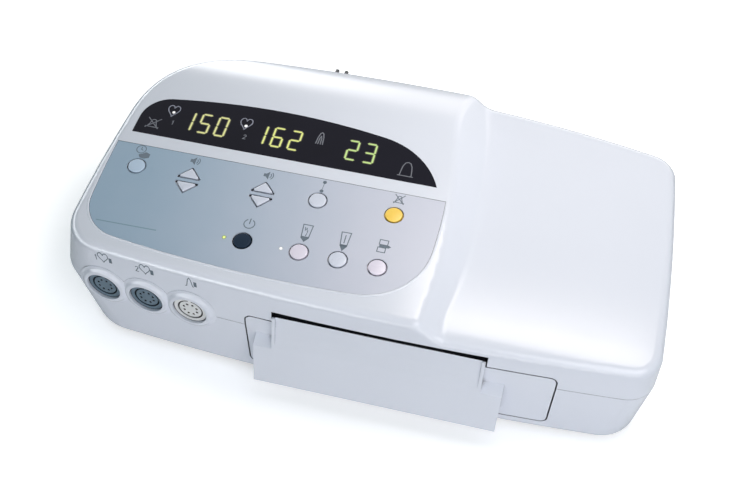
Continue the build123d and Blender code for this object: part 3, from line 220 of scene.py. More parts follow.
def slab(outline, low, high):
    """Flat plate: one outline repeated at two heights."""
    outline = np.asarray(outline, float)
    rings = np.stack([np.column_stack([outline, np.full(len(outline), z)]) for z in (low, high)])
    return lofted(rings)


def arc(x, y, radius, start, end, count):
    """Points on a circle between two angles in degrees."""
    t = np.radians(np.linspace(start, end, count))
    return np.column_stack([x + radius * np.cos(t), y + radius * np.sin(t)])


def ring_line(x, y, radius, count=40):
    """Circle as evenly spaced points, the first on its right."""
    return arc(x, y, radius, 0, 360 - 360 / count, count)


def revolved(profile, segments, centre=(0.0, 0.0), hollow=False):
    """Solid of revolution: each (radius, height) of the profile becomes a ring of points. A hollow one has no
    caps: its last ring joins its first."""
    profile = np.asarray(profile, float)
    turn = np.linspace(0, 2 * math.pi, segments, endpoint=False)
    x = centre[0] + profile[:, :1] * np.cos(turn)
    y = centre[1] + profile[:, :1] * np.sin(turn)
    return lofted(np.stack([x, y, np.broadcast_to(profile[:, 1:], x.shape)], -1), hollow)


def on_panel(part):
    """Carries (u, v, n) millimetres onto the tilted panel: origin + u along X + v up the slope + n out."""
    points, faces = part
    return (PANEL_POINT + points @ PANEL_AXES) * MM, faces


def on_seat(part, origin, x_axis, normal):
    """Carries (u, v, n) millimetres onto a plane given by a point in metres, a level axis and a normal."""
    points, faces = part
    x = np.array(Vector(x_axis).normalized())
    n = np.array(Vector(normal).normalized())
    return np.array(origin) + points @ np.array([x, np.cross(n, x), n]) * MM, faces


def make_piece(name, part, material, body="cabinet", replaces=()):
    """Mesh object at the origin from points and faces, smooth but for its sharp edges, riding on a body."""
    points, faces = part
    mesh = bpy.data.meshes.new(name)
    mesh.from_pydata(np.asarray(points).tolist(), [], [list(f) for f in faces])
    shape = bmesh.new()
    shape.from_mesh(mesh)
    bmesh.ops.recalc_face_normals(shape, faces=shape.faces)
    shape.to_mesh(mesh)
    shape.free()
    mesh.shade_smooth()
    mesh.set_sharp_from_angle(angle=PIECE_SHARP)
    mesh.materials.append(bpy.data.materials[material])
    obj = put(name, mesh)
    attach(obj, body)
    if replaces:
        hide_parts(*replaces)


def new_group(name):
    """Empty geometry node group that a mesh goes into and comes out of."""
    group = bpy.data.node_groups.new(name, "GeometryNodeTree")
    for way in ("INPUT", "OUTPUT"):
        group.interface.new_socket("Geometry", in_out=way, socket_type="NodeSocketGeometry")
    return group


def smoothing_group():
    """Geometry nodes that weld a solid's loose triangles and smooth all but its sharp edges."""
    group = bpy.data.node_groups.get("weld and smooth")
    if group:
        return group
    group = new_group("weld and smooth")
    weld = add(group, "GeometryNodeMergeByDistance", {"Geometry": add(group, "NodeGroupInput"),
               "Distance": WELD_MM * MM})
    smooth = add(group, "GeometryNodeSetShadeSmooth", {"Geometry": weld, "Shade Smooth": True}, domain="FACE")
    angle = add(group, "GeometryNodeInputMeshEdgeAngle").outputs["Unsigned Angle"]
    sharp = add(group, "FunctionNodeCompare", {"A": angle, "B": SOLID_SHARP}, data_type="FLOAT",
                operation="GREATER_THAN")
    crisp = add(group, "GeometryNodeSetShadeSmooth", {"Geometry": smooth, "Selection": sharp,
                "Shade Smooth": False}, domain="EDGE")
    add(group, "NodeGroupOutput", {"Geometry": crisp})
    return group


def node_modifier(obj, name, group):
    """Adds geometry nodes to a solid."""
    obj.modifiers.new(name, "NODES").node_group = group


def finish_node(name, material, bevel=0.0):
    """Gives a solid of the frame its material, smooth shading and, where asked, a rounding on its edges."""
    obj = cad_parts[name]
    obj.data.materials.clear()
    obj.data.materials.append(bpy.data.materials[material])
    node_modifier(obj, "weld and smooth", smoothing_group())
    if bevel:
        edge = obj.modifiers.new("moulded edge", "BEVEL")
        edge.width = bevel * MM
        edge.segments = 3
        edge.limit_method = "ANGLE"
        edge.angle_limit = BEVEL_FROM
        edge.use_clamp_overlap = True
        edge.harden_normals = False
        node_modifier(obj, "weld and smooth again", smoothing_group())
    even = obj.modifiers.new("even normals", "WEIGHTED_NORMAL")
    even.keep_sharp = True
    even.weight = 50
    return obj


# Materials

def feed(node, inputs):
    """Gives a node's sockets values or links. A node given as a value stands for its first live output."""
    for key, value in inputs.items():
        if isinstance(key, str):
            socket = next(s for s in node.inputs if s.name == key and s.enabled)
        else:
            socket = node.inputs[key]
        if isinstance(value, bpy.types.Node):
            value = next(s for s in value.outputs if s.enabled)
        if isinstance(value, bpy.types.NodeSocket):
            node.id_data.links.new(value, socket)
        else:
            socket.default_value = value


def add(tree, kind, inputs=None, **settings):
    """Adds a node, sets its attributes and feeds its sockets."""
    made = tree.nodes.new(kind)
    for key, value in settings.items():
        setattr(made, key, value)
    feed(made, inputs or {})
    return made


def tone(base, factor=1.0):
    """Opaque colour: the base times a factor, no channel above one."""
    return (*(min(1.0, c * factor) for c in base[:3]), 1.0)


def new_material(name, base, roughness, **inputs):
    """Material with one Principled shader. Values that don't vary sit on its own sockets."""
    material = bpy.data.materials.new(name)
    material.use_nodes = True
    tree = material.node_tree
    tree.nodes.clear()
    shader = add(tree, "ShaderNodeBsdfPrincipled", {"Base Color": tone(base), "Roughness": roughness})
    feed(shader, {key.replace("_", " "): value for key, value in inputs.items()})
    add(tree, "ShaderNodeOutputMaterial", {"Surface": shader})
    return tree, shader, add(tree, "ShaderNodeTexCoord").outputs["Object"]


def vary(tree, shader, place, base, size_mm, change):
    """Slow change of a colour over the surface: soft noise of the given size mixes it with a scaled copy."""
    cloud = add(tree, "ShaderNodeTexNoise", {"Vector": place, "Scale": 1 / (size_mm * MM), "Detail": 3.0})
    both = {"Factor": cloud, "A": tone(base), "B": tone(base, change)}
    feed(shader, {"Base Color": add(tree, "ShaderNodeMix", both, data_type="RGBA")})
    return cloud


def moulded(name, base, roughness, skin_mm=2.2, depth_mm=0.006, seam_mm=0.0, **inputs):
    """Injection-moulded thermoplastic. The tool's polish leaves a faint waviness under the gloss, handling
    leaves soft patches of a little more or less shine, and the colour runs through the body. Where a seam
    reach is given, painted shade darkens narrow gaps, where ambient occlusion finds the surface closed in."""
    tree, shader, place = new_material(name, base, roughness, IOR=1.53, **inputs)
    patch = vary(tree, shader, place, base, 45.0, 0.97)
    if seam_mm:
        # Painted shade: the colour turns near black where ambient occlusion finds a narrow gap
        even = shader.inputs["Base Color"].links[0].from_socket
        opened = add(tree, "ShaderNodeAmbientOcclusion", {"Distance": seam_mm * MM}, samples=8).outputs["AO"]
        clear = add(tree, "ShaderNodeMapRange", {"Value": opened, "From Min": SEAM_CLOSED,
                    "From Max": SEAM_OPEN})
        both = {"Factor": clear, "A": tone(base, SEAM_PAINTED_SHADE), "B": even}
        feed(shader, {"Base Color": add(tree, "ShaderNodeMix", both, data_type="RGBA")})
    skin = add(tree, "ShaderNodeTexNoise", {"Vector": place, "Scale": 1 / (skin_mm * MM), "Detail": 2.0})
    feed(shader, {
        "Roughness": add(tree, "ShaderNodeMapRange", {"Value": patch, "To Min": roughness - 0.05,
                         "To Max": roughness + 0.05}),
        "Normal": add(tree, "ShaderNodeBump", {"Height": skin, "Distance": depth_mm * MM, "Strength": 1.0}),
    })


def paint_slot_shade(name, black):
    """Painted shade: blackens the face over which the paper leaves the slot, so that the slot reads as one
    dark line where the white plastic lies in shadow: the faces that look up, near the chute's top and behind
    its front edge."""
    tree = bpy.data.materials[name].node_tree
    shader = next(n for n in tree.nodes if n.bl_idname == "ShaderNodeBsdfPrincipled")
    even = shader.inputs["Base Color"].links[0].from_socket
    place, facing = (add(tree, "ShaderNodeSeparateXYZ", {"Vector": source}).outputs for source in (
        add(tree, "ShaderNodeTexCoord").outputs["Object"],
        add(tree, "ShaderNodeNewGeometry").outputs["True Normal"]))
    mask = 1.0
    for value, limit in ((place["Z"], GUIDE_ABOVE_Z * MM), (place["Y"], GUIDE_BEHIND_Y * MM),
                         (facing["Z"], GUIDE_UPWARD)):
        beyond = add(tree, "ShaderNodeMath", {0: value, 1: limit}, operation="GREATER_THAN")
        mask = add(tree, "ShaderNodeMath", {0: mask, 1: beyond}, operation="MULTIPLY")
    both = {"Factor": mask, "A": even, "B": tone(black)}
    feed(shader, {"Base Color": add(tree, "ShaderNodeMix", both, data_type="RGBA")})


def printed_sheet(name, left, right):
    """Back-printed polyester overlay: a satin face with a fine emboss, its silver-grey colour running from a
    painted-shade blue-grey at the left to a painted-light mauve-grey at the right, as the light falls from
    the right."""
    tree, shader, place = new_material(name, left, 0.36, IOR=1.57, Coat_Weight=0.15, Coat_Roughness=0.3)
    x = add(tree, "ShaderNodeSeparateXYZ", {"Vector": place}).outputs["X"]
    # Painted light and shade: the colour runs from the shaded left end to the lit right end
    along = add(tree, "ShaderNodeMapRange", {"Value": x, "From Min": OVERLAY_SHADE_SPAN[0],
                "From Max": OVERLAY_SHADE_SPAN[1]}, interpolation_type="SMOOTHSTEP")
    cloud = add(tree, "ShaderNodeTexNoise", {"Vector": place, "Scale": 1 / (26 * MM), "Detail": 2.0})
    wander = add(tree, "ShaderNodeMath", {0: cloud, 1: 0.16, 2: -0.08}, operation="MULTIPLY_ADD")
    level = add(tree, "ShaderNodeMath", {0: along, 1: wander}, operation="ADD", use_clamp=True)
    both = {"Factor": level, "A": tone(left), "B": tone(right)}
    emboss = add(tree, "ShaderNodeTexNoise", {"Vector": place, "Scale": 1 / (0.5 * MM), "Detail": 1.0})
    feed(shader, {
        "Base Color": add(tree, "ShaderNodeMix", both, data_type="RGBA"),
        "Normal": add(tree, "ShaderNodeBump", {"Height": emboss, "Distance": 0.006 * MM, "Strength": 0.6}),
    })


def smoked_window(name, base):
    """Smoked acrylic, cast and polished: almost black, with a hard gloss and faint wipe marks."""
    tree, shader, place = new_material(name, base, 0.07, IOR=1.49, Specular_IOR_Level=0.07)
    vary(tree, shader, place, base, 30.0, 1.5)
    wiped = add(tree, "ShaderNodeMapping", {"Vector": place, "Scale": (0.25, 1.0, 1.0)})
    marks = add(tree, "ShaderNodeTexNoise", {"Vector": wiped, "Scale": 1 / (6 * MM), "Detail": 4.0})
    shine = add(tree, "ShaderNodeMapRange", {"Value": marks, "To Min": 0.04, "To Max": 0.13})
    feed(shader, {"Roughness": shine})


def lit(name, base, strength):
    """Lamp or segment seen lit: a dark diffusing resin whose glow is a little uneven over its width."""
    tree, shader, place = new_material(name, tone(base, 0.1), 0.45, Emission_Strength=strength,
                                       Specular_IOR_Level=0.2)
    cloud = add(tree, "ShaderNodeTexNoise", {"Vector": place, "Scale": 1 / (1.6 * MM), "Detail": 1.0})
    pale = [c + (1 - c) * 0.08 for c in base[:3]]
    both = {"Factor": cloud, "A": tone(base), "B": tone(pale)}
    feed(shader, {"Emission Color": add(tree, "ShaderNodeMix", both, data_type="RGBA")})


def ink(name, base):
    """Screen-printed ink: matt, with the small change of density that a mesh leaves."""
    tree, shader, place = new_material(name, base, 0.6)
    vary(tree, shader, place, base, 1.2, 1.25)


def rubber(name, base):
    """Moulded or ground rubber: matt, faintly grainy, dull sheen."""
    tree, shader, place = new_material(name, base, 0.75, IOR=1.52, Sheen_Weight=0.1)
    vary(tree, shader, place, base, 9.0, 1.35)
    grit = add(tree, "ShaderNodeTexNoise", {"Vector": place, "Scale": 1 / (0.35 * MM), "Detail": 2.0})
    relief = add(tree, "ShaderNodeBump", {"Height": grit, "Distance": 0.03 * MM, "Strength": 0.5})
    feed(shader, {"Normal": relief})


def drawn_metal(name, base, roughness, stretch=(0.03, 1.0, 1.0), line_mm=0.3):
    """Turned, rolled or extruded metal: fine parallel tool lines that stretch the reflections across them."""
    tree, shader, place = new_material(name, base, roughness, Metallic=1.0)
    along = add(tree, "ShaderNodeMapping", {"Vector": place, "Scale": stretch})
    lines = add(tree, "ShaderNodeTexNoise", {"Vector": along, "Scale": 1 / (line_mm * MM), "Detail": 2.0})
    vary(tree, shader, place, base, 12.0, 0.88)
    feed(shader, {
        "Roughness": add(tree, "ShaderNodeMapRange", {"Value": lines, "To Min": roughness - 0.08,
                         "To Max": roughness + 0.1}),
        "Normal": add(tree, "ShaderNodeBump", {"Height": lines, "Distance": 0.008 * MM, "Strength": 0.5}),
    })


def circuit_board(name, base, track):
    """Glass-fibre board under green solder resist: tracks show as paler lines beneath the gloss."""
    tree, shader, place = new_material(name, base, 0.32, IOR=1.55)
    tracks = add(tree, "ShaderNodeTexBrick", {
        "Vector": place, "Scale": 1 / (14 * MM), "Color1": tone(base), "Color2": tone(base, 0.85),
        "Mortar": tone(track), "Mortar Size": 0.05, "Brick Width": 0.9, "Row Height": 0.3}).outputs
    raised = add(tree, "ShaderNodeBump", {"Height": tracks["Fac"], "Distance": 0.03 * MM, "Strength": 0.6})
    feed(shader, {"Base Color": tracks["Color"], "Normal": raised})


def layered(name, base, layer_mm, roughness, axis, metallic=0.0):
    """Stacked sheet or wound tape: parallel layers with dark edges, drawn several times thicker than real
    ones, which would be too fine to show."""
    tree, shader, place = new_material(name, base, roughness, Metallic=metallic)
    layers = add(tree, "ShaderNodeTexWave", {"Vector": place, "Scale": WAVE_PERIOD / (layer_mm * MM),
                 "Distortion": 0.3, "Detail": 1.0}, bands_direction=axis).outputs["Fac"]
    both = {"Factor": layers, "A": tone(base, 0.6), "B": tone(base)}
    feed(shader, {
        "Base Color": add(tree, "ShaderNodeMix", both, data_type="RGBA"),
        "Normal": add(tree, "ShaderNodeBump", {"Height": layers, "Distance": 0.05 * MM, "Strength": 0.6}),
    })


class MONITOR_OT_finishes(bpy.types.Operator):
    """Makes every material of the monitor"""

    bl_idname = "monitor.finishes"
    bl_label = "Make finishes"

    def execute(self, context):
        c = context.scene.monitor_colours
        # Housing and socket plastics carry painted shade in their narrow gaps
        for name in (WHITE, SLOT_SHADED):
            moulded(name, c.housing, 0.2, seam_mm=SEAM_MM, Coat_Weight=0.1, Coat_Roughness=0.08)
        # Painted shade: the white plastic's slot face is coloured near black so that the slot reads dark
        paint_slot_shade(SLOT_SHADED, linear("0C0D12"))
        moulded("Polycarbonate moulded satin grey", c.socket_grey, 0.38, skin_mm=0.8, seam_mm=SEAM_MM)
        moulded("Polycarbonate moulded satin ivory", c.socket_ivory, 0.36, skin_mm=0.8, seam_mm=SEAM_MM)
        printed_sheet("Polyester sheet back printed", c.overlay_shaded_left, c.overlay_lit_right)
        smoked_window("Acrylic smoked polished", c.window)
        lit("Segment resin lit straw", c.digits_straw, 1.1)
        lit("Segment resin lit yellow green", c.digits_yellow, 1.1)
        lit("Segment resin lit green", c.digits_green, 1.1)
        lit("Acrylic smoked glowing olive", c.digits_glow, 1.0)
        lit("Lamp resin lit green", linear("8A9C3C"), 0.9)
        lit("Lamp core lit green", linear("E4F08A"), 1.1)
        lit("Lamp resin lit pale", linear("B8BCC0"), 1.0)
        lit("Marker lamp lit white", linear("FFFFFF"), 1.0)
        for name, base in (("pale", c.key_light), ("blue grey", c.key_blue), ("pinkish white", c.key_pink)):
            moulded(f"ABS moulded key {name}", base, 0.28, skin_mm=1.0)
        moulded("ABS moulded key yellow", c.key_yellow, 0.3, skin_mm=1.0)
        moulded("ABS moulded key near black", c.key_dark, 0.35, skin_mm=1.0, Specular_IOR_Level=0.1)
        for name, base in (("grey", c.ink), ("pale", c.ink_light), ("dim", c.ink_dim), ("line", c.ink_line)):
            ink(f"Ink printed {name}", base)
        moulded("Epoxy moulded display face", linear("111111"), 0.5)
        circuit_board("Glass fibre board green", linear("1F5535"), linear("3F8A55"))
        moulded("Nylon moulded black", linear("222326"), 0.5, skin_mm=0.6)
        moulded("ABS moulded tray grey", linear("55585D"), 0.42, skin_mm=1.0)
        moulded("Acetal moulded natural", linear("E2DFD2"), 0.4, skin_mm=1.2, Subsurface_Weight=0.05)
        rubber("Rubber ground platen", linear("1A1B1D"))
        rubber("Rubber moulded feet", linear("404348"))
        drawn_metal("Steel turned", linear("C9CACD"), 0.28)
        drawn_metal("Steel sheet zinc plated", linear("BFC3C6"), 0.36, (0.05, 1.0, 1.0), 0.6)
        drawn_metal("Aluminium extruded", linear("CFD1D4"), 0.34, (0.02, 1.0, 1.0), 0.5)
        drawn_metal("Brass turned", linear("D9B96C"), 0.3, (1.0, 0.05, 1.0))
        drawn_metal("Contact gold plated", linear("E6C873"), 0.24, (1.0, 0.05, 1.0), 0.2)
        drawn_metal("Steel tinned shell", linear("C8CACC"), 0.3, line_mm=0.4)
        drawn_metal("Steel can dark plated", linear("5A5C60"), 0.38)
        moulded("Ceramic glazed substrate", linear("D6CFBE"), 0.22, skin_mm=3.0)
        layered("Steel laminations varnished", linear("5A5650"), 5.655, 0.5, "Y", metallic=0.4)
        layered("Coil taped amber", linear("D8AE45"), 18.85, 0.45, "Z")
        moulded("Sleeve shrunk blue", linear("26335A"), 0.3, skin_mm=2.0)
        moulded("Steel basket painted black", linear("27282A"), 0.45, skin_mm=0.5, depth_mm=0.012)
        moulded("Steel sheet painted pale", linear("D5D9E0"), 0.4, skin_mm=0.5, depth_mm=0.014)
        return {"FINISHED"}


def eased_chute():
    """Geometry nodes that draw the chute's bend and top edge in towards the wall, so that its front runs
    from slot to foot in one almost flat sweep: y grows by a shift that depends on height z and fades out
    behind the front face."""
    tree = new_group("eased chute")
    place = add(tree, "ShaderNodeSeparateXYZ", {"Vector": add(tree, "GeometryNodeInputPosition")}).outputs
    foot, bend, hollow, top = (height * MM for height in CHUTE_HEIGHTS)
    low_y, high_y, top_back, bend_in, top_in, fade_start, fade_end = (
        value * MM for value in (*CHUTE_FRONT_Y, CHUTE_TOP_BACK, BEND_IN, TOP_IN, *FADE_DEPTH))
    # Straight lines over the height: up to the bend, down from it, the top's shift, and the front's place
    # below the bend and how far it lies further back above it
    rising, falling, top_shift, low_front, back = (
        add(tree, "ShaderNodeMapRange", {"Value": place["Z"], "From Min": start, "From Max": end,
            "To Min": low, "To Max": high})
        for start, end, low, high in (
            (foot, bend, 0.0, 1.0), (hollow, bend, 0.0, 1.0), (hollow, top, 0.0, top_in),
            (foot, bend, low_y, high_y), (bend, top, 0.0, top_back)))
    near_bend = add(tree, "ShaderNodeMath", {0: rising, 1: falling}, operation="MINIMUM")
    shift = add(tree, "ShaderNodeMath", {0: near_bend, 1: bend_in, 2: top_shift}, operation="MULTIPLY_ADD")
    front = add(tree, "ShaderNodeMath", {0: low_front, 1: back}, operation="ADD")
    depth = add(tree, "ShaderNodeMath", {0: place["Y"], 1: front}, operation="SUBTRACT")
    fade = add(tree, "ShaderNodeMapRange", {"Value": depth, "From Min": fade_start, "From Max": fade_end,
               "To Min": 1.0, "To Max": 0.0})
    faded = add(tree, "ShaderNodeMath", {0: shift, 1: fade}, operation="MULTIPLY")
    drawn_in = add(tree, "GeometryNodeSetPosition", {"Geometry": add(tree, "NodeGroupInput"),
                   "Offset": add(tree, "ShaderNodeCombineXYZ", {"Y": faded})})
    add(tree, "NodeGroupOutput", {"Geometry": drawn_in})
    return tree


class MONITOR_OT_housing(bpy.types.Operator):
    """Finishes the two shells, the recorder door and the chute"""

    bl_idname = "monitor.housing"
    bl_label = "Dress housing"

    def execute(self, context):
        # The door and the chute take the plastic with painted shade on the slot face
        for name, material in (("upper_housing", WHITE), ("lower_housing", WHITE), ("recorder_door", SLOT_SHADED),
                               ("rubber_feet", "Rubber moulded feet"), ("housing_screws", "Steel turned")):
            finish_node(name, material)
        chute = finish_node("paper_chute", SLOT_SHADED, 0.5)
        node_modifier(chute, "eased chute", eased_chute())
        chute.modifiers.move(len(chute.modifiers) - 1, 0)
        return {"FINISHED"}


def rounded_triangle(base, height, radius, direction, corners=9):
    """Triangle with arcs at its corners, centred on half its height: each corner's arc turns from one side's
    normal to the next around a centre that lies one radius inside both sides."""
    sign = 1 if direction == "up" else -1
    tips = np.array([(-base / 2, -height / 2), (base / 2, -height / 2), (0, height / 2)])
    runs = np.roll(tips, -1, 0) - tips
    runs /= np.linalg.norm(runs, axis=1, keepdims=True)
    out = np.stack([runs[:, 1], -runs[:, 0]], 1)
    arcs = []
    for k in range(3):
        before, after = out[k - 1], out[k]
        centre = tips[k] - radius * (before + after) / (1 + before @ after)
        start = math.atan2(before[1], before[0])
        turn = (math.atan2(after[1], after[0]) - start) % (2 * math.pi)
        t = start + turn * np.linspace(0, 1, corners)
        arcs.append(centre + radius * np.column_stack([np.cos(t), np.sin(t)]))
    outline = np.concatenate(arcs)
    outline[:, 1] *= sign
    return outline if sign > 0 else outline[::-1]


ROUND_KEYS = {
    "setup": ((-187.2, -31.0), "blue"), "mark": ((-43.6, -31.0), "light"),
    "alarm_silence": ((14.6, -31.0), "yellow"), "power": ((-87.2, -79.0), "dark"),
    "record": ((-44.6, -79.0), "pink"), "paper_advance": ((-15.7, -79.0), "light"),
    "print": ((13.3, -79.0), "pink"),
}
TRIANGLE_KEYS = {"volume_1": -144.5, "volume_2": -86.0}
TRIANGLE_V = {"up": -28.3, "down": -42.3}
KEY_FINISH = {"light": "ABS moulded key pale", "blue": "ABS moulded key blue grey",
              "pink": "ABS moulded key pinkish white", "yellow": "ABS moulded key yellow",
              "dark": "ABS moulded key near black"}
TRIANGLE_SIZE, FLANGE_SIZE = (16.8, 8.9, 1.0), (19.6, 10.4, 0.8)
STEM_END, FLANGE_LOW, FLANGE_HIGH, FLANGE_RADIUS = -11.75, -4.35, -3.15, 8.2
# Rounding of the rims, the angle it turns through, radii of the two stems, the triangles' shift towards the
# tip, how far their flange and stem reach, and where the rings of their crown lie
ROUND_EDGE, TRIANGLE_EDGE, EDGE_TURN = 0.55, 0.5, 78
ROUND_STEM, TRIANGLE_STEM, TRIANGLE_SHIFT, TRIANGLE_FLANGE, STEM_SHIFT = 2.5, 2.0, 0.14, 0.9, 1.2
CROWN_MIDDLE, CROWN_RINGS = 0.25, (0.85, 0.65, 0.4, 0.12)


def outwards(outline):
    """Mitred unit offset that points out of a closed outline, whichever way round it runs."""
    side = sideways(outline, True)
    middle = outline.mean(0)
    return side if ((outline - middle) * side).sum() > 0 else -side


class MONITOR_OT_keys(bpy.types.Operator):
    """Builds the eleven key caps with their domed crowns, flanges and stems"""

    bl_idname = "monitor.keys"
    bl_label = "Build keys"

    def execute(self, context):
        s = context.scene.monitor_sizes
        radius, proud, dome = s.key_width / MM / 2, s.key_proud / MM, s.key_dome / MM
        edge = ROUND_EDGE
        turn = np.radians(np.linspace(0, EDGE_TURN, 7))
        shoulder = proud - dome
        for name, (place, shade) in ROUND_KEYS.items():
            flat = radius - edge
            across = np.linspace(flat + edge * math.cos(turn[-1]), CROWN_MIDDLE, 10)
            crown = np.column_stack([across, shoulder + dome * (1 - (across / flat) ** 2)])
            rim = np.column_stack([flat + edge * np.cos(turn), shoulder - edge + edge * np.sin(turn)])
            crown[:, 1] += rim[-1, 1] - crown[0, 1]
            crown[:, 1] = np.minimum(crown[:, 1], proud)
            foot = [(ROUND_STEM, STEM_END), (ROUND_STEM, FLANGE_LOW), (FLANGE_RADIUS, FLANGE_LOW),
                    (FLANGE_RADIUS, FLANGE_HIGH), (radius, FLANGE_HIGH)]
            part = on_panel(revolved(np.concatenate([foot, rim, crown[1:]]), 72, place))
            make_piece(f"cap_{name}", part, KEY_FINISH[shade],
                       f"key_{name}_body", (f"key_{name}",))
        edge = TRIANGLE_EDGE
        for name, u in TRIANGLE_KEYS.items():
            for direction, v in TRIANGLE_V.items():
                towards = 1 if direction == "up" else -1
                outline = rounded_triangle(*TRIANGLE_SIZE, direction) - (0.0, towards * TRIANGLE_SHIFT)
                flange = rounded_triangle(*FLANGE_SIZE, direction)
                outward, flange = outwards(outline), flange + outwards(flange) * TRIANGLE_FLANGE
                levels = [(flange, FLANGE_LOW), (flange, FLANGE_HIGH), (outline, FLANGE_HIGH),
                          (outline, shoulder - edge)]
                for a in turn[1:]:
                    last = outline - outward * edge * (1 - math.cos(a))
                    top = shoulder - edge + edge * math.sin(a)
                    levels.append((last, top))
                for share in CROWN_RINGS:
                    levels.append((last * share, min(proud, top + dome * (1 - share ** 2))))
                rings = [np.column_stack([flat + (u, v), np.full(len(flat), n)]) for flat, n in levels]
                stem = revolved([(TRIANGLE_STEM, STEM_END), (TRIANGLE_STEM, FLANGE_LOW + 0.2)], 32,
                                (u, v - towards * STEM_SHIFT))
                part = on_panel(joined([lofted(np.stack(rings)), stem]))
                key = f"key_{name}_{direction}"
                make_piece(f"cap_{name}_{direction}", part, KEY_FINISH["light"],
                           f"{key}_body", (key,))
        return {"FINISHED"}


def bowed_outline(sides, radii, guess, per_side=40, per_corner=16):
    """Closed outline of four wide arcs joined by four corner arcs. Each side is (centre, radius); a corner's
    centre lies where the two side circles, drawn in by its radius, cross nearest the guessed corner."""

    def crossing(a, ra, b, rb, near):
        """Point where two circles cross, the one nearer the guess: it lies (ra^2 - rb^2 + gap^2) / 2 gap
        along the line from a to b, and beside it by the rest of ra."""
        a, b = np.array(a), np.array(b)
        gap = np.linalg.norm(b - a)
        on = (ra ** 2 - rb ** 2 + gap ** 2) / (2 * gap)
        off = math.sqrt(ra ** 2 - on ** 2)
        unit = (b - a) / gap
        both = [a + on * unit + s * off * np.array([unit[1], -unit[0]]) for s in (1, -1)]
        return min(both, key=lambda p: np.linalg.norm(p - near))

    def push(p, centre, radius):
        """Point of a circle on the ray from its centre through p."""
        run = np.array(p) - centre
        return np.array(centre) + run * radius / np.linalg.norm(run)

    corners = []
    for k, radius in enumerate(radii):
        (a, ra), (b, rb) = sides[k], sides[(k + 1) % 4]
        centre = crossing(a, ra - radius, b, rb - radius, np.array(guess[k]))
        corners.append((centre, radius, push(centre, a, ra), push(centre, b, rb)))

    def between(centre, start, end, count):
        """Points on the arc from start to end, the short way round, the end left out."""
        a, b = start - centre, end - centre
        t0 = math.atan2(a[1], a[0])
        turn = (math.atan2(b[1], b[0]) - t0 + math.pi) % (2 * math.pi) - math.pi
        t = t0 + turn * np.linspace(0, 1, count, endpoint=False)
        return centre + np.linalg.norm(a) * np.column_stack([np.cos(t), np.sin(t)])

    runs = []
    for k, (centre, radius) in enumerate(sides):
        runs.append(between(np.array(centre), corners[k - 1][3], corners[k][2], per_side))
        runs.append(between(corners[k][0], corners[k][2], corners[k][3], per_corner))
    return np.concatenate(runs)


def overlay_outline(inset=0.0):
    """Outline of the keypad recess in panel millimetres: its four sides and corners as in the shell."""
    sides = (((-50.0, 894.2), 1000.0 - inset), ((-370.0, -28.0), 420.0 - inset),
             ((-95.0, -542.0), 600.0 - inset), ((489.2, -30.0), 700.0 - inset))
    radii = (50.0 - inset, 40.0 - inset, 30.0 - inset, 34.0 - inset)
    return bowed_outline(sides, radii, ((50.0, -105.0), (50.0, 58.0), (-210.0, 58.0), (-210.0, -105.0)))


# Bead: how far it covers the sheet's edge, the v below which it runs, and how deep it is rooted
BEAD_OVERLAP, BEAD_BELOW_V, BEAD_ROOT = 0.05, -10.0, 0.25


class MONITOR_OT_panel(bpy.types.Operator):
    """Finishes the keypad sheet and the window, and adds the moulded bead around the recess"""

    bl_idname = "monitor.panel"
    bl_label = "Dress panel"

    def execute(self, context):
        s = context.scene.monitor_sizes
        finish_node("keypad_overlay", "Polyester sheet back printed")
        finish_node("display_lens", "Acrylic smoked polished", 0.25)
        width, height = s.bead_width / MM, s.bead_height / MM
        outline = overlay_outline(-width / 2 + BEAD_OVERLAP)
        kept = outline[outline[:, 1] < BEAD_BELOW_V]
        start = np.argmax(np.linalg.norm(kept - np.roll(kept, 1, 0), axis=1))
        path = np.roll(kept, -start, 0)
        out = sideways(path, False)
        t = np.linspace(0, math.pi, 9)
        profile = np.column_stack([np.cos(t) * width / 2, np.sin(t) * height])
        profile = np.concatenate([profile, [(-width / 2, -BEAD_ROOT), (width / 2, -BEAD_ROOT)]])
        ease = np.clip(np.arange(len(path)) / 6, 0.05, 1)
        ease = np.minimum(ease, ease[::-1])[:, None]
        flat = path[:, None, :] + out[:, None, :] * profile[None, :, :1]
        rise = np.where(profile[None, :, 1] > 0, profile[None, :, 1] * ease, profile[None, :, 1])
        part = on_panel(lofted(np.concatenate([flat, rise[..., None]], -1)))
        make_piece("recess_bead", part, WHITE)
        return {"FINISHED"}


LAMPS_LIT = (("power", -101.0, "green", "Lamp core lit green"),
             ("record", -58.0, "pale", "Marker lamp lit white"))
LAMP_V, LAMP_CORE, CORE_LEVELS = -79.0, 1.05, (-0.3, -0.06)
# Lit bars: the space between two tips, where bar and glow start under the window's face, the glow's top and
# its step from bar to bar
TIP_GAP, BAR_ROOT, GLOW_TOP, GLOW_STEP = 0.18, -0.2, -0.03, 0.002
SEGMENTS = {"0": "abcdef", "1": "bc", "2": "abged", "3": "abgcd", "4": "fgbc", "5": "afgcd", "6": "afgedc",
            "7": "abc", "8": "abcdefg", "9": "abcdfg", " ": ""}
READINGS = (("150", (-150.2, 21.5), "Segment resin lit straw"),
            ("162", (-90.2, 21.2), "Segment resin lit yellow green"),
            (" 23", (-30.4, 22.0), "Segment resin lit green"))


def segment(start, end, thickness, gap):
    """Pointed bar from start to end: a hexagon whose two tips lie on the line."""
    start, end = np.array(start, float), np.array(end, float)
    run = (end - start) / np.linalg.norm(end - start)
    side = np.array([-run[1], run[0]]) * thickness / 2
    a, b = start + run * gap, end - run * gap
    inset = run * thickness / 2
    return np.array([a, a + inset - side, b - inset - side, b, b - inset + side, a + inset + side])


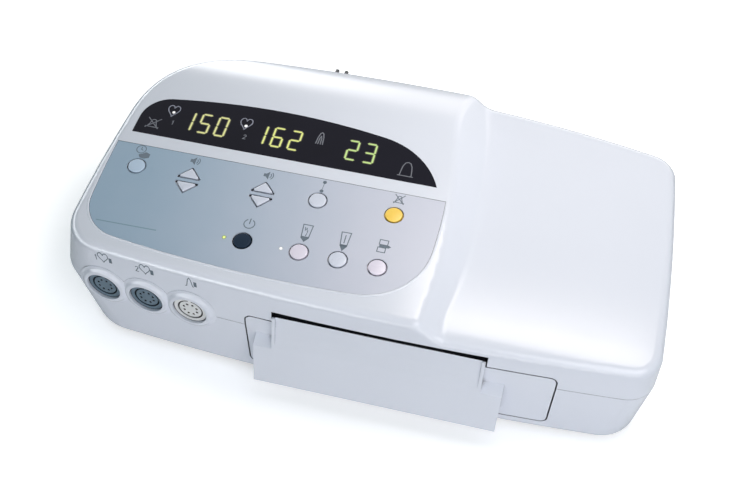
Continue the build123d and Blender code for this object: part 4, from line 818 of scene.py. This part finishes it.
def digit(shape, width, height, thickness, grow=0.0):
    """Hexagons of one upright seven-segment figure, centred, each grown by a margin all round."""
    w, h, gap = width / 2, height / 2 - thickness / 2, TIP_GAP - grow
    ends = {"a": ((-w, h), (w, h)), "b": ((w, h), (w, 0)), "c": ((w, 0), (w, -h)), "d": ((-w, -h), (w, -h)),
            "e": ((-w, -h), (-w, 0)), "f": ((-w, 0), (-w, h)), "g": ((-w, 0), (w, 0))}
    return [segment(*ends[letter], thickness + 2 * grow, gap) for letter in SEGMENTS[shape]]


class MONITOR_OT_display(bpy.types.Operator):
    """Builds the lit digits that show on the window, and finishes the modules behind it"""

    bl_idname = "monitor.display"
    bl_label = "Build digits"

    def execute(self, context):
        s = context.scene.monitor_sizes
        width, height, bar, pitch, glow = (x / MM for x in (s.digit_width, s.digit_height, s.digit_stroke,
                                                            s.digit_pitch, s.digit_glow))
        for number, (text, (u, v), material) in enumerate(READINGS, start=1):
            bars, halo = [], []
            for k, shape in enumerate(text):
                place = (u + (k - 1) * pitch, v)
                bars += [slab(outline + place, BAR_ROOT, 0.0) for outline in digit(shape, width, height, bar)]
                halo += [slab(outline + place, BAR_ROOT, GLOW_TOP - GLOW_STEP * j)
                         for j, outline in enumerate(digit(shape, width, height, bar, glow))]
            make_piece(f"digits_{number}", on_panel(joined(bars)), material)
            make_piece(f"digits_glow_{number}", on_panel(joined(halo)), "Acrylic smoked glowing olive")
            finish_node(f"digit_module_{number}", "Epoxy moulded display face")
        for name, u, shade, material in LAMPS_LIT:
            finish_node(f"lamp_{name}", f"Lamp resin lit {shade}")
            core = slab(ring_line(u, LAMP_V, LAMP_CORE, 24), *CORE_LEVELS)
            make_piece(f"lamp_core_{name}", on_panel(core), material)
        return {"FINISHED"}


def heart(width, height, count=48):
    """Heart line: x = 16 sin^3 t, y = 13 cos t - 5 cos 2t - 2 cos 3t - cos 4t, 32 wide, 29 high, scaled."""
    t = np.linspace(0, 2 * math.pi, count, endpoint=False)
    x = 16 * np.sin(t) ** 3
    y = 13 * np.cos(t) - 5 * np.cos(2 * t) - 2 * np.cos(3 * t) - np.cos(4 * t)
    return np.column_stack([x * width / 32, (y + 2.5) * height / 29])


def bell(width, height, count=13):
    """Bell line: two flared sides and a round crown."""
    t = np.linspace(0, 1, count)
    reach = width / 2 * (1 - 0.45 * np.sin(t * math.pi / 2) ** 1.5)
    side = np.column_stack([reach, height * (t * 0.7 - 0.5)])
    top = arc(0, height * 0.2, side[-1, 0], 0, 180, 13)[1:-1]
    return np.concatenate([side, top, side[::-1] * (-1, 1)])


def fine(path, step=0.6):
    """The same line with points no further apart than the step."""
    path = np.asarray(path, float)
    reach = np.concatenate([[0], np.cumsum(np.linalg.norm(np.diff(path, axis=0), axis=1))])
    count = max(2, int(math.ceil(reach[-1] / step)) + 1)
    at = np.union1d(reach, np.linspace(0, reach[-1], count))
    return np.column_stack([np.interp(at, reach, path[:, 0]), np.interp(at, reach, path[:, 1])])


def symbol(width, high, low=0.0, lines=(), closed=(), filled=()):
    """Printed symbol: open lines, closed lines and filled outlines as flat bars and plates."""
    parts = [stroke(path, width, low, high) for path in lines]
    parts += [stroke(path, width, low, high, True) for path in closed]
    parts += [slab(outline, low, high) for outline in filled]
    return joined(parts)


def square(u, v, width, height):
    """Four corners of a rectangle around (u, v)."""
    a, b = width / 2, height / 2
    return np.array([(u - a, v - b), (u + a, v - b), (u + a, v + b), (u - a, v + b)])


# Y from which the front wall is looked for, in metres
AHEAD_OF_WALL = -0.3


def on_wall(part):
    """Carries (x, z, n) millimetres onto the front wall: each point is cast on it along Y, then lifted by n
    along the wall's normal."""
    points, faces = part
    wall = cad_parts["upper_housing"]
    depsgraph = bpy.context.evaluated_depsgraph_get()
    placed = []
    for x, z, n in points:
        start = Vector((x * MM, AHEAD_OF_WALL, z * MM))
        hit, point, normal, _ = wall.ray_cast(start, Vector((0, 1, 0)), depsgraph=depsgraph)
        if not hit:
            raise RuntimeError(f"no wall at {x:.1f}, {z:.1f}")
        placed.append(point + normal * n * MM)
    return np.array(placed), faces


def crossed(a, b):
    """Two lines across a symbol, corner to corner."""
    return [[(-a, -b), (a, b)], [(-a, b), (a, -b)]]


# Height over the panel of what is printed on the sheet and the window, how deep and high the wall's ink lies
# besides its thickness, and the width of a plug's block
SHEET_FACE, WINDOW_FACE, WALL_INK_ROOT, WALL_INK_LIFT, PLUG_WIDTH = -0.1, -0.05, -0.05, 0.02, 2.4


class MONITOR_OT_symbols(bpy.types.Operator):
    """Prints the symbols of the keypad sheet, the window and the front wall"""

    bl_idname = "monitor.symbols"
    bl_label = "Print symbols"

    def execute(self, context):
        s = context.scene.monitor_sizes
        w, t = s.line_width / MM, s.print_height / MM
        dark, pale, dim = "Ink printed grey", "Ink printed pale", "Ink printed dim"

        def place(name, u, v, material, n=SHEET_FACE, width=w, **lines):
            """Prints a symbol, drawn in millimetres about its own middle, at (u, v) on the panel."""
            points, faces = symbol(width, t, **lines)
            make_piece(name, on_panel((points + (u, v, n), faces)), material)

        hand = [(-0.4, -5.2), (2.4, -3.9), (4.6, -2.0), (6.0, -2.4), (8.5, -3.4), (8.5, -7.0), (5.2, -8.4),
                (1.6, -8.2), (0.4, -6.8)]
        place("symbol_setup", -189.5, -14.6, dark, lines=[[(0.0, 2.4), (0.0, 0.0), (1.7, -0.8)]],
              closed=[ring_line(0, 0, 3.7)], filled=[hand])
        horn = [(-3.0, -1.4), (-1.2, -1.4), (1.2, -3.8), (1.2, 3.8), (-1.2, 1.4), (-3.0, 1.4)]
        for number, u, v in ((1, -145.7, -16.2), (2, -86.9, -16.7)):
            place(f"symbol_volume_{number}", u, v, dark, filled=[horn],
                  lines=[arc(0.4, 0, 2.5, -50, 50, 11), arc(0.4, 0, 4.1, -50, 50, 13)])
        place("symbol_mark", -43.0, -17.5, dark, lines=[[(0.2, 4.3), (-0.2, -4.3)]],
              filled=[ring_line(0.2, 4.3, 1.5), ring_line(-0.2, -4.3, 1.5)], width=w * 0.6)
        place("symbol_alarm_silence", 15.4, -15.9, dark,
              lines=[bell(5.8, 6.4), [(-4.2, -3.3), (4.2, -3.3)], *crossed(3.9, 4.3)])
        place("symbol_power", -86.7, -63.4, dark, lines=[arc(0, 0, 4.0, 118, 422, 40), [(0, 4.9), (0, -0.1)]],
              width=w * 1.15)
        place("symbol_record", -44.0, -61.8, dark, width=w * 1.1,
              lines=[[(-1.6, 5.2), (-1.2, 2.4), (-0.2, 4.4), (0.6, 1.0), (1.2, 3.0), (0.2, -2.6)]],
              closed=[[(-3.6, 7.4), (3.6, 7.4), (2.8, -4.2), (0.2, -7.4), (-2.6, -4.4)]],
              filled=[[(-2.7, -3.0), (2.9, -3.0), (2.8, -4.2), (0.2, -7.4), (-2.6, -4.4)]])
        place("symbol_paper_advance", -15.0, -61.8, dark, width=w * 1.1, lines=[[(0.0, 5.0), (0.0, -2.4)]],
              closed=[[(-3.6, 7.2), (3.4, 7.4), (2.6, -4.7), (-2.2, -4.7)]],
              filled=[[(-2.4, -3.4), (2.8, -3.4), (2.7, -5.2), (0.1, -9.4), (-2.3, -5.2)]])
        place("symbol_print", 13.0, -60.1, dark,
              closed=[square(0.2, 3.3, 6.2, 4.2), square(-0.4, -3.4, 5.8, 4.0)],
              filled=[[(-2.6, -1.1), (4.4, -1.1), (6.2, 0.2), (4.4, 1.3), (-2.6, 1.3)]])
        place("line_panel", 0, 0, "Ink printed line", lines=[[(-198.0, -85.6), (-151.4, -84.8)]], width=0.9)

        place("symbol_clear", -190.2, 13.0, dim, WINDOW_FACE, width=w * 1.1,
              lines=[bell(7.6, 8.0), [(-5.6, -4.0), (5.6, -4.0)], *crossed(5.4, 5.2)])
        place("symbol_bell", 14.6, 6.9, dim, WINDOW_FACE, width=w * 1.1,
              lines=[[(-4.5, 0.2), (-4.1, 5.1), (-3.4, 9.4), (-2.0, 12.4), (0.0, 13.4), (2.0, 12.4),
                      (3.4, 9.4), (4.1, 5.1), (4.5, 0.2)], [(-6.3, -0.2), (6.1, -0.2)]])
        outer = [(-2.8, -6.0), (-2.2, 1.0), (-1.2, 5.0), (0.0, 6.0), (1.1, 5.0), (2.1, 1.0), (2.7, -6.0)]
        inner = [(-1.1, -6.0), (-0.7, 0.4), (0.0, 2.2), (0.6, 0.4), (1.0, -6.0)]
        place("symbol_hump", -57.2, 28.0, dim, WINDOW_FACE, width=w * 1.3, lines=[outer, inner])
        for number, u, v, dot, radius in ((1, -178.8, 28.3, (0.6, -1.0), 1.2),
                                          (2, -118.5, 28.5, (0.6, -1.7), 1.3)):
            place(f"symbol_heart_{number}", u, v, pale, WINDOW_FACE, closed=[heart(9.6, 11.8)], width=w * 1.2)
            place(f"beat_lamp_{number}", u + dot[0], v + dot[1], "Marker lamp lit white", WINDOW_FACE,
                  filled=[ring_line(0, 0, radius, 24)])
        place("symbol_one", -175.5, 16.8, dim, WINDOW_FACE, lines=[[(-0.9, 1.3), (0.2, 2.0), (0.2, -2.0)]])
        place("symbol_two", -115.6, 15.8, dim, WINDOW_FACE,
              lines=[[(-1.1, 1.2), (-0.5, 2.0), (0.6, 2.0), (1.1, 1.0), (-1.1, -2.0), (1.2, -2.0)]])

        one = fine([(-6.6, 0.6), (-5.7, 1.5), (-5.7, -3.6)])
        two = fine([(-7.4, 0.6), (-6.9, 1.4), (-5.8, 1.4), (-5.2, 0.5), (-7.4, -3.6), (-5.0, -3.6)])
        hump = fine([(-3.6, -4.4), (-2.3, -4.0), (-1.8, -1.0), (-1.0, 3.2), (0.0, 4.5), (1.0, 3.2),
                     (1.8, -1.0), (2.3, -4.0), (3.2, -4.4)])
        beat = [heart(8.2, 9.6, 64)]
        for number, x, z, line, closed, plug_x in ((1, -181.0, 96.5, one, beat, 5.8),
                                                   (2, -147.5, 96.5, two, beat, 5.5),
                                                   (3, -112.7, 96.0, hump, [], 4.4)):
            low, high = WALL_INK_ROOT, t + WALL_INK_LIFT
            marks = symbol(w, high, low, lines=[line], closed=closed)
            plug = stroke(fine([(plug_x, -3.4), (plug_x, 1.6)]), PLUG_WIDTH, low, high)
            points, faces = joined([marks, plug])
            make_piece(f"wall_symbol_{number}", on_wall((points + (x, z, 0.0), faces)), dark)
        return {"FINISHED"}


# Sockets: middle of each seat and the wall's normal there. Flare: radius and height over the wall
SOCKET_SEATS = (((-184.90, -106.83, 65.0), (-0.0917, -0.9950, 0.0384)),
                ((-150.20, -109.77, 65.0), (-0.0771, -0.9963, 0.0384)),
                ((-115.10, -112.23, 65.0), (-0.0624, -0.9973, 0.0384)))
FLARE_PROFILE = ((14.7, 0.4), (14.7, 2.3), (15.3, 2.34), (15.9, 2.2), (16.5, 1.85), (17.1, 1.35),
                 (17.7, 0.82), (18.3, 0.42), (18.9, 0.16), (19.6, 0.0), (20.4, -0.3), (20.4, -0.8))


class MONITOR_OT_sockets(bpy.types.Operator):
    """Finishes the three transducer sockets and adds the moulded flare around each collar"""

    bl_idname = "monitor.sockets"
    bl_label = "Dress sockets"

    def execute(self, context):
        finish_node("socket_collars", WHITE)
        for number in (1, 2, 3):
            material = "Polycarbonate moulded satin " + ("ivory" if number == 3 else "grey")
            finish_node(f"socket_shell_{number}", material)
            finish_node(f"socket_insert_{number}", material)
        finish_node("socket_contacts", "Contact gold plated")
        for number, (seat, normal) in enumerate(SOCKET_SEATS, start=1):
            level = (-normal[1], normal[0], 0.0)
            flare = on_seat(revolved(FLARE_PROFILE, 96, hollow=True), np.array(seat) * MM, level, normal)
            make_piece(f"socket_flare_{number}", flare, WHITE)
        return {"FINISHED"}


INSIDE = {
    "paper_tray": "ABS moulded tray grey", "platen_roller": "Rubber ground platen",
    "platen_shaft": "Steel turned", "platen_bushings": "Acetal moulded natural",
    "platen_gear": "Acetal moulded natural", "idler_gear": "Acetal moulded natural",
    "motor_pinion": "Brass turned", "motor_shaft": "Steel turned",
    "stepper_motor": "Steel can dark plated", "print_head": "Ceramic glazed substrate",
    "head_bracket": "Aluminium extruded", "recorder_frame": "Steel sheet zinc plated",
    "display_board": "Glass fibre board green", "key_switches": "Nylon moulded black",
    "main_board": "Glass fibre board green", "main_board_chips": "Nylon moulded black",
    "board_standoffs": "Brass turned", "power_supply_board": "Glass fibre board green",
    "transformer_core": "Steel laminations varnished", "transformer_coil": "Coil taped amber",
    "supply_capacitors": "Sleeve shrunk blue", "speaker": "Steel basket painted black",
}
REAR = {
    "rear_plate": "Steel sheet painted pale", "mains_inlet": "Nylon moulded black",
    "mains_pins": "Steel tinned shell", "data_ports": "Steel tinned shell", "earth_stud": "Brass turned",
    "rear_terminals": "Nylon moulded black",
}


class MONITOR_OT_inside(bpy.types.Operator):
    """Finishes the recorder's works and the boards"""

    bl_idname = "monitor.inside"
    bl_label = "Dress works"

    def execute(self, context):
        for name, material in INSIDE.items():
            finish_node(name, material)
        return {"FINISHED"}


class MONITOR_OT_rear(bpy.types.Operator):
    """Finishes the connectors at the back"""

    bl_idname = "monitor.rear"
    bl_label = "Dress back"

    def execute(self, context):
        for name, material in REAR.items():
            finish_node(name, material)
        return {"FINISHED"}


# Floor: material, tone, half its width, its height; half-widths of the ellipse over which it fades, where
# the fade starts and ends on it, and the glow within and beyond
SWEEP, FLOOR_TONE, FLOOR_HALF, FLOOR_LOW = "Paper sweep matt white", "F0F1F4", 3.0, -0.0002
GLOW_ELLIPSE, GLOW_EDGE, GLOW_LEVELS = (0.245, 0.15), (0.95, 1.4), (0.46, 0.75)
# World: soft light for what is lit, a pale surround for what is mirrored, brighter in a low strip on the left
SOFT_TINT, SOFT_STRENGTH = (0.62, 0.92, 1.0, 1.0), 0.17
SURROUND_TINT, SURROUND_STRENGTH, STRIP_STRENGTH = (0.94, 0.97, 1.0, 1.0), 1.75, 5.0
STRIP_BOTTOM, STRIP_TOP, STRIP_LEFT = (0.0, 0.1), (0.45, 0.3), (-0.12, -0.3)
# Lamps: place, target, width and height in metres, watts, tint
LAMPS = {
    "key lamp": ((0.15, 0.1, 0.55), (0.15, 0.05, 0.1), (0.3, 0.3), 1.62, (1.0, 0.93, 0.88)),
    "right front lamp": ((0.55, -0.75, 0.8), (0.05, 0.0, 0.1), (0.8, 0.7), 4.8, (1.0, 0.98, 1.0)),
    "low front lamp": ((0.1, -1.3, 0.15), (0.0, 0.0, 0.06), (1.8, 0.25), 4.7, (1.0, 0.94, 0.9)),
    "low back lamp": ((0.0, 1.2, 0.45), (0.0, 0.0, 0.1), (1.6, 0.5), 3.2, (1.0, 0.92, 0.87)),
}


def put(name, data):
    """Object for a lamp, camera or mesh, linked into the scene."""
    obj = bpy.data.objects.new(name, data)
    bpy.context.scene.collection.objects.link(obj)
    return obj


def lay_floor():
    """Matt white sweep. The camera alone sees it lifted towards white, less so near the monitor, so that the
    shadow stays."""
    tree, shader, place = new_material(SWEEP, linear(FLOOR_TONE), 0.9)
    vary(tree, shader, place, linear(FLOOR_TONE), 400.0, 0.985)
    spread = add(tree, "ShaderNodeMapping", {"Vector": place, "Scale": (*(1 / w for w in GLOW_ELLIPSE), 0.0)})
    reach = add(tree, "ShaderNodeVectorMath", {0: spread}, operation="LENGTH")
    glow = add(tree, "ShaderNodeMapRange", {
        "Value": reach, "From Min": GLOW_EDGE[0], "From Max": GLOW_EDGE[1], "To Min": GLOW_LEVELS[0],
        "To Max": GLOW_LEVELS[1]}, interpolation_type="SMOOTHSTEP")
    seen = add(tree, "ShaderNodeLightPath").outputs["Is Camera Ray"]
    feed(shader, {"Emission Color": (1.0, 1.0, 1.0, 1.0),
                  "Emission Strength": add(tree, "ShaderNodeMath", {0: seen, 1: glow}, operation="MULTIPLY")})
    side = np.linspace(-FLOOR_HALF, FLOOR_HALF, 9)
    x, y = np.meshgrid(side, side, indexing="ij")
    points = np.stack([x, y, np.full_like(x, FLOOR_LOW)], -1).reshape(-1, 3)
    mesh = bpy.data.meshes.new("floor")
    mesh.from_pydata(points.tolist(), [], grid_faces(9, 9)[:, ::-1].tolist())
    mesh.materials.append(bpy.data.materials[SWEEP])
    put("floor", mesh)


def light_world():
    """Surround that the camera, a gloss and a view through glass see brighter than it lights."""
    world = bpy.data.worlds.new("Studio")
    bpy.context.scene.world = world
    world.use_nodes = True
    tree = world.node_tree
    tree.nodes.clear()
    ray = add(tree, "ShaderNodeLightPath").outputs
    seen = 0.0
    for way in ("Is Camera Ray", "Is Glossy Ray", "Is Transmission Ray"):
        seen = add(tree, "ShaderNodeMath", {0: seen, 1: ray[way]}, operation="MAXIMUM")
    around = add(tree, "ShaderNodeTexCoord").outputs["Generated"]
    toward = add(tree, "ShaderNodeSeparateXYZ", {"Vector": around}).outputs
    strip = 1.0
    for axis, (start, end) in (("Z", STRIP_BOTTOM), ("Z", STRIP_TOP), ("X", STRIP_LEFT)):
        edge = add(tree, "ShaderNodeMapRange", {"Value": toward[axis], "From Min": start, "From Max": end})
        strip = add(tree, "ShaderNodeMath", {0: strip, 1: edge}, operation="MULTIPLY")
    level = add(tree, "ShaderNodeMath", {0: strip, 1: STRIP_STRENGTH, 2: SURROUND_STRENGTH},
                operation="MULTIPLY_ADD")
    soft = add(tree, "ShaderNodeBackground", {"Color": SOFT_TINT, "Strength": SOFT_STRENGTH})
    surround = add(tree, "ShaderNodeBackground", {"Color": SURROUND_TINT, "Strength": level})
    both = add(tree, "ShaderNodeMixShader", {0: seen, 1: soft, 2: surround})
    add(tree, "ShaderNodeOutputWorld", {"Surface": both})


def place_camera():
    """Camera of the photograph: it looks along its yaw and pitch, and rolls about that line."""
    camera = bpy.data.cameras.new("photograph camera")
    camera.sensor_fit = "HORIZONTAL"
    camera.sensor_width = 36.0
    camera.lens = CAMERA_LENS
    camera.clip_start = 0.02
    camera.dof.use_dof = False
    obj = put("photograph camera", camera)
    yaw, pitch, roll = CAMERA_YAW, CAMERA_PITCH, CAMERA_ROLL
    ahead = Vector((math.sin(yaw) * math.cos(pitch), math.cos(yaw) * math.cos(pitch), -math.sin(pitch)))
    right = Vector((math.cos(yaw), -math.sin(yaw), 0.0))
    down = ahead.cross(right)
    turned = math.cos(roll) * right + math.sin(roll) * down
    below = -math.sin(roll) * right + math.cos(roll) * down
    axes = Matrix((turned, -below, -ahead)).transposed().to_4x4()
    obj.matrix_world = Matrix.Translation(CAMERA_PLACE) @ axes
    bpy.context.scene.camera = obj


class MONITOR_OT_stage(bpy.types.Operator):
    """Lays the pale floor and sets up the lamps, the world and the camera"""

    bl_idname = "monitor.stage"
    bl_label = "Set stage"

    def execute(self, context):
        lay_floor()
        light_world()
        for name, (place, target, size, watts, tint) in LAMPS.items():
            lamp = bpy.data.lights.new(name, "AREA")
            lamp.shape = "RECTANGLE"
            lamp.size, lamp.size_y = size
            lamp.energy = watts
            lamp.color = tint
            obj = put(name, lamp)
            obj.location = place
            obj.rotation_euler = (Vector(target) - Vector(place)).to_track_quat("-Z", "Y").to_euler()
        place_camera()
        context.scene.view_settings.view_transform = "Standard"
        return {"FINISHED"}


class MONITOR_PT_sidebar(bpy.types.Panel):
    """Lists the sizes, the colours and the steps"""

    bl_label = "Fetal monitor"
    bl_idname = "MONITOR_PT_sidebar"
    bl_space_type = "VIEW_3D"
    bl_region_type = "UI"
    bl_category = "Monitor"

    def draw(self, context):
        for group in (context.scene.monitor_sizes, context.scene.monitor_colours):
            box = self.layout.box()
            for key in group.bl_rna.properties.keys():
                if key not in ("rna_type", "name"):
                    box.prop(group, key)
        for step in STEPS:
            self.layout.operator(step.bl_idname)


STEPS = (MONITOR_OT_finishes, MONITOR_OT_housing, MONITOR_OT_panel, MONITOR_OT_keys, MONITOR_OT_display,
         MONITOR_OT_symbols, MONITOR_OT_sockets, MONITOR_OT_inside, MONITOR_OT_rear, MONITOR_OT_stage)
CLASSES = (MonitorSizes, MonitorColours, *STEPS, MONITOR_PT_sidebar)


def register():
    """Registers the classes and puts the sizes and colours on the scene."""
    for cls in CLASSES:
        bpy.utils.register_class(cls)
    bpy.types.Scene.monitor_sizes = bpy.props.PointerProperty(type=MonitorSizes)
    bpy.types.Scene.monitor_colours = bpy.props.PointerProperty(type=MonitorColours)


def unregister():
    """Takes away what register put there."""
    del bpy.types.Scene.monitor_sizes
    del bpy.types.Scene.monitor_colours
    for cls in reversed(CLASSES):
        bpy.utils.unregister_class(cls)


def main():
    """Runs every step in order."""
    register()
    for step in STEPS:
        family, name = step.bl_idname.split(".")
        if getattr(getattr(bpy.ops, family), name)() != {"FINISHED"}:
            raise RuntimeError(f"{step.bl_label} did not finish")


if __name__ == "__main__":
    main()
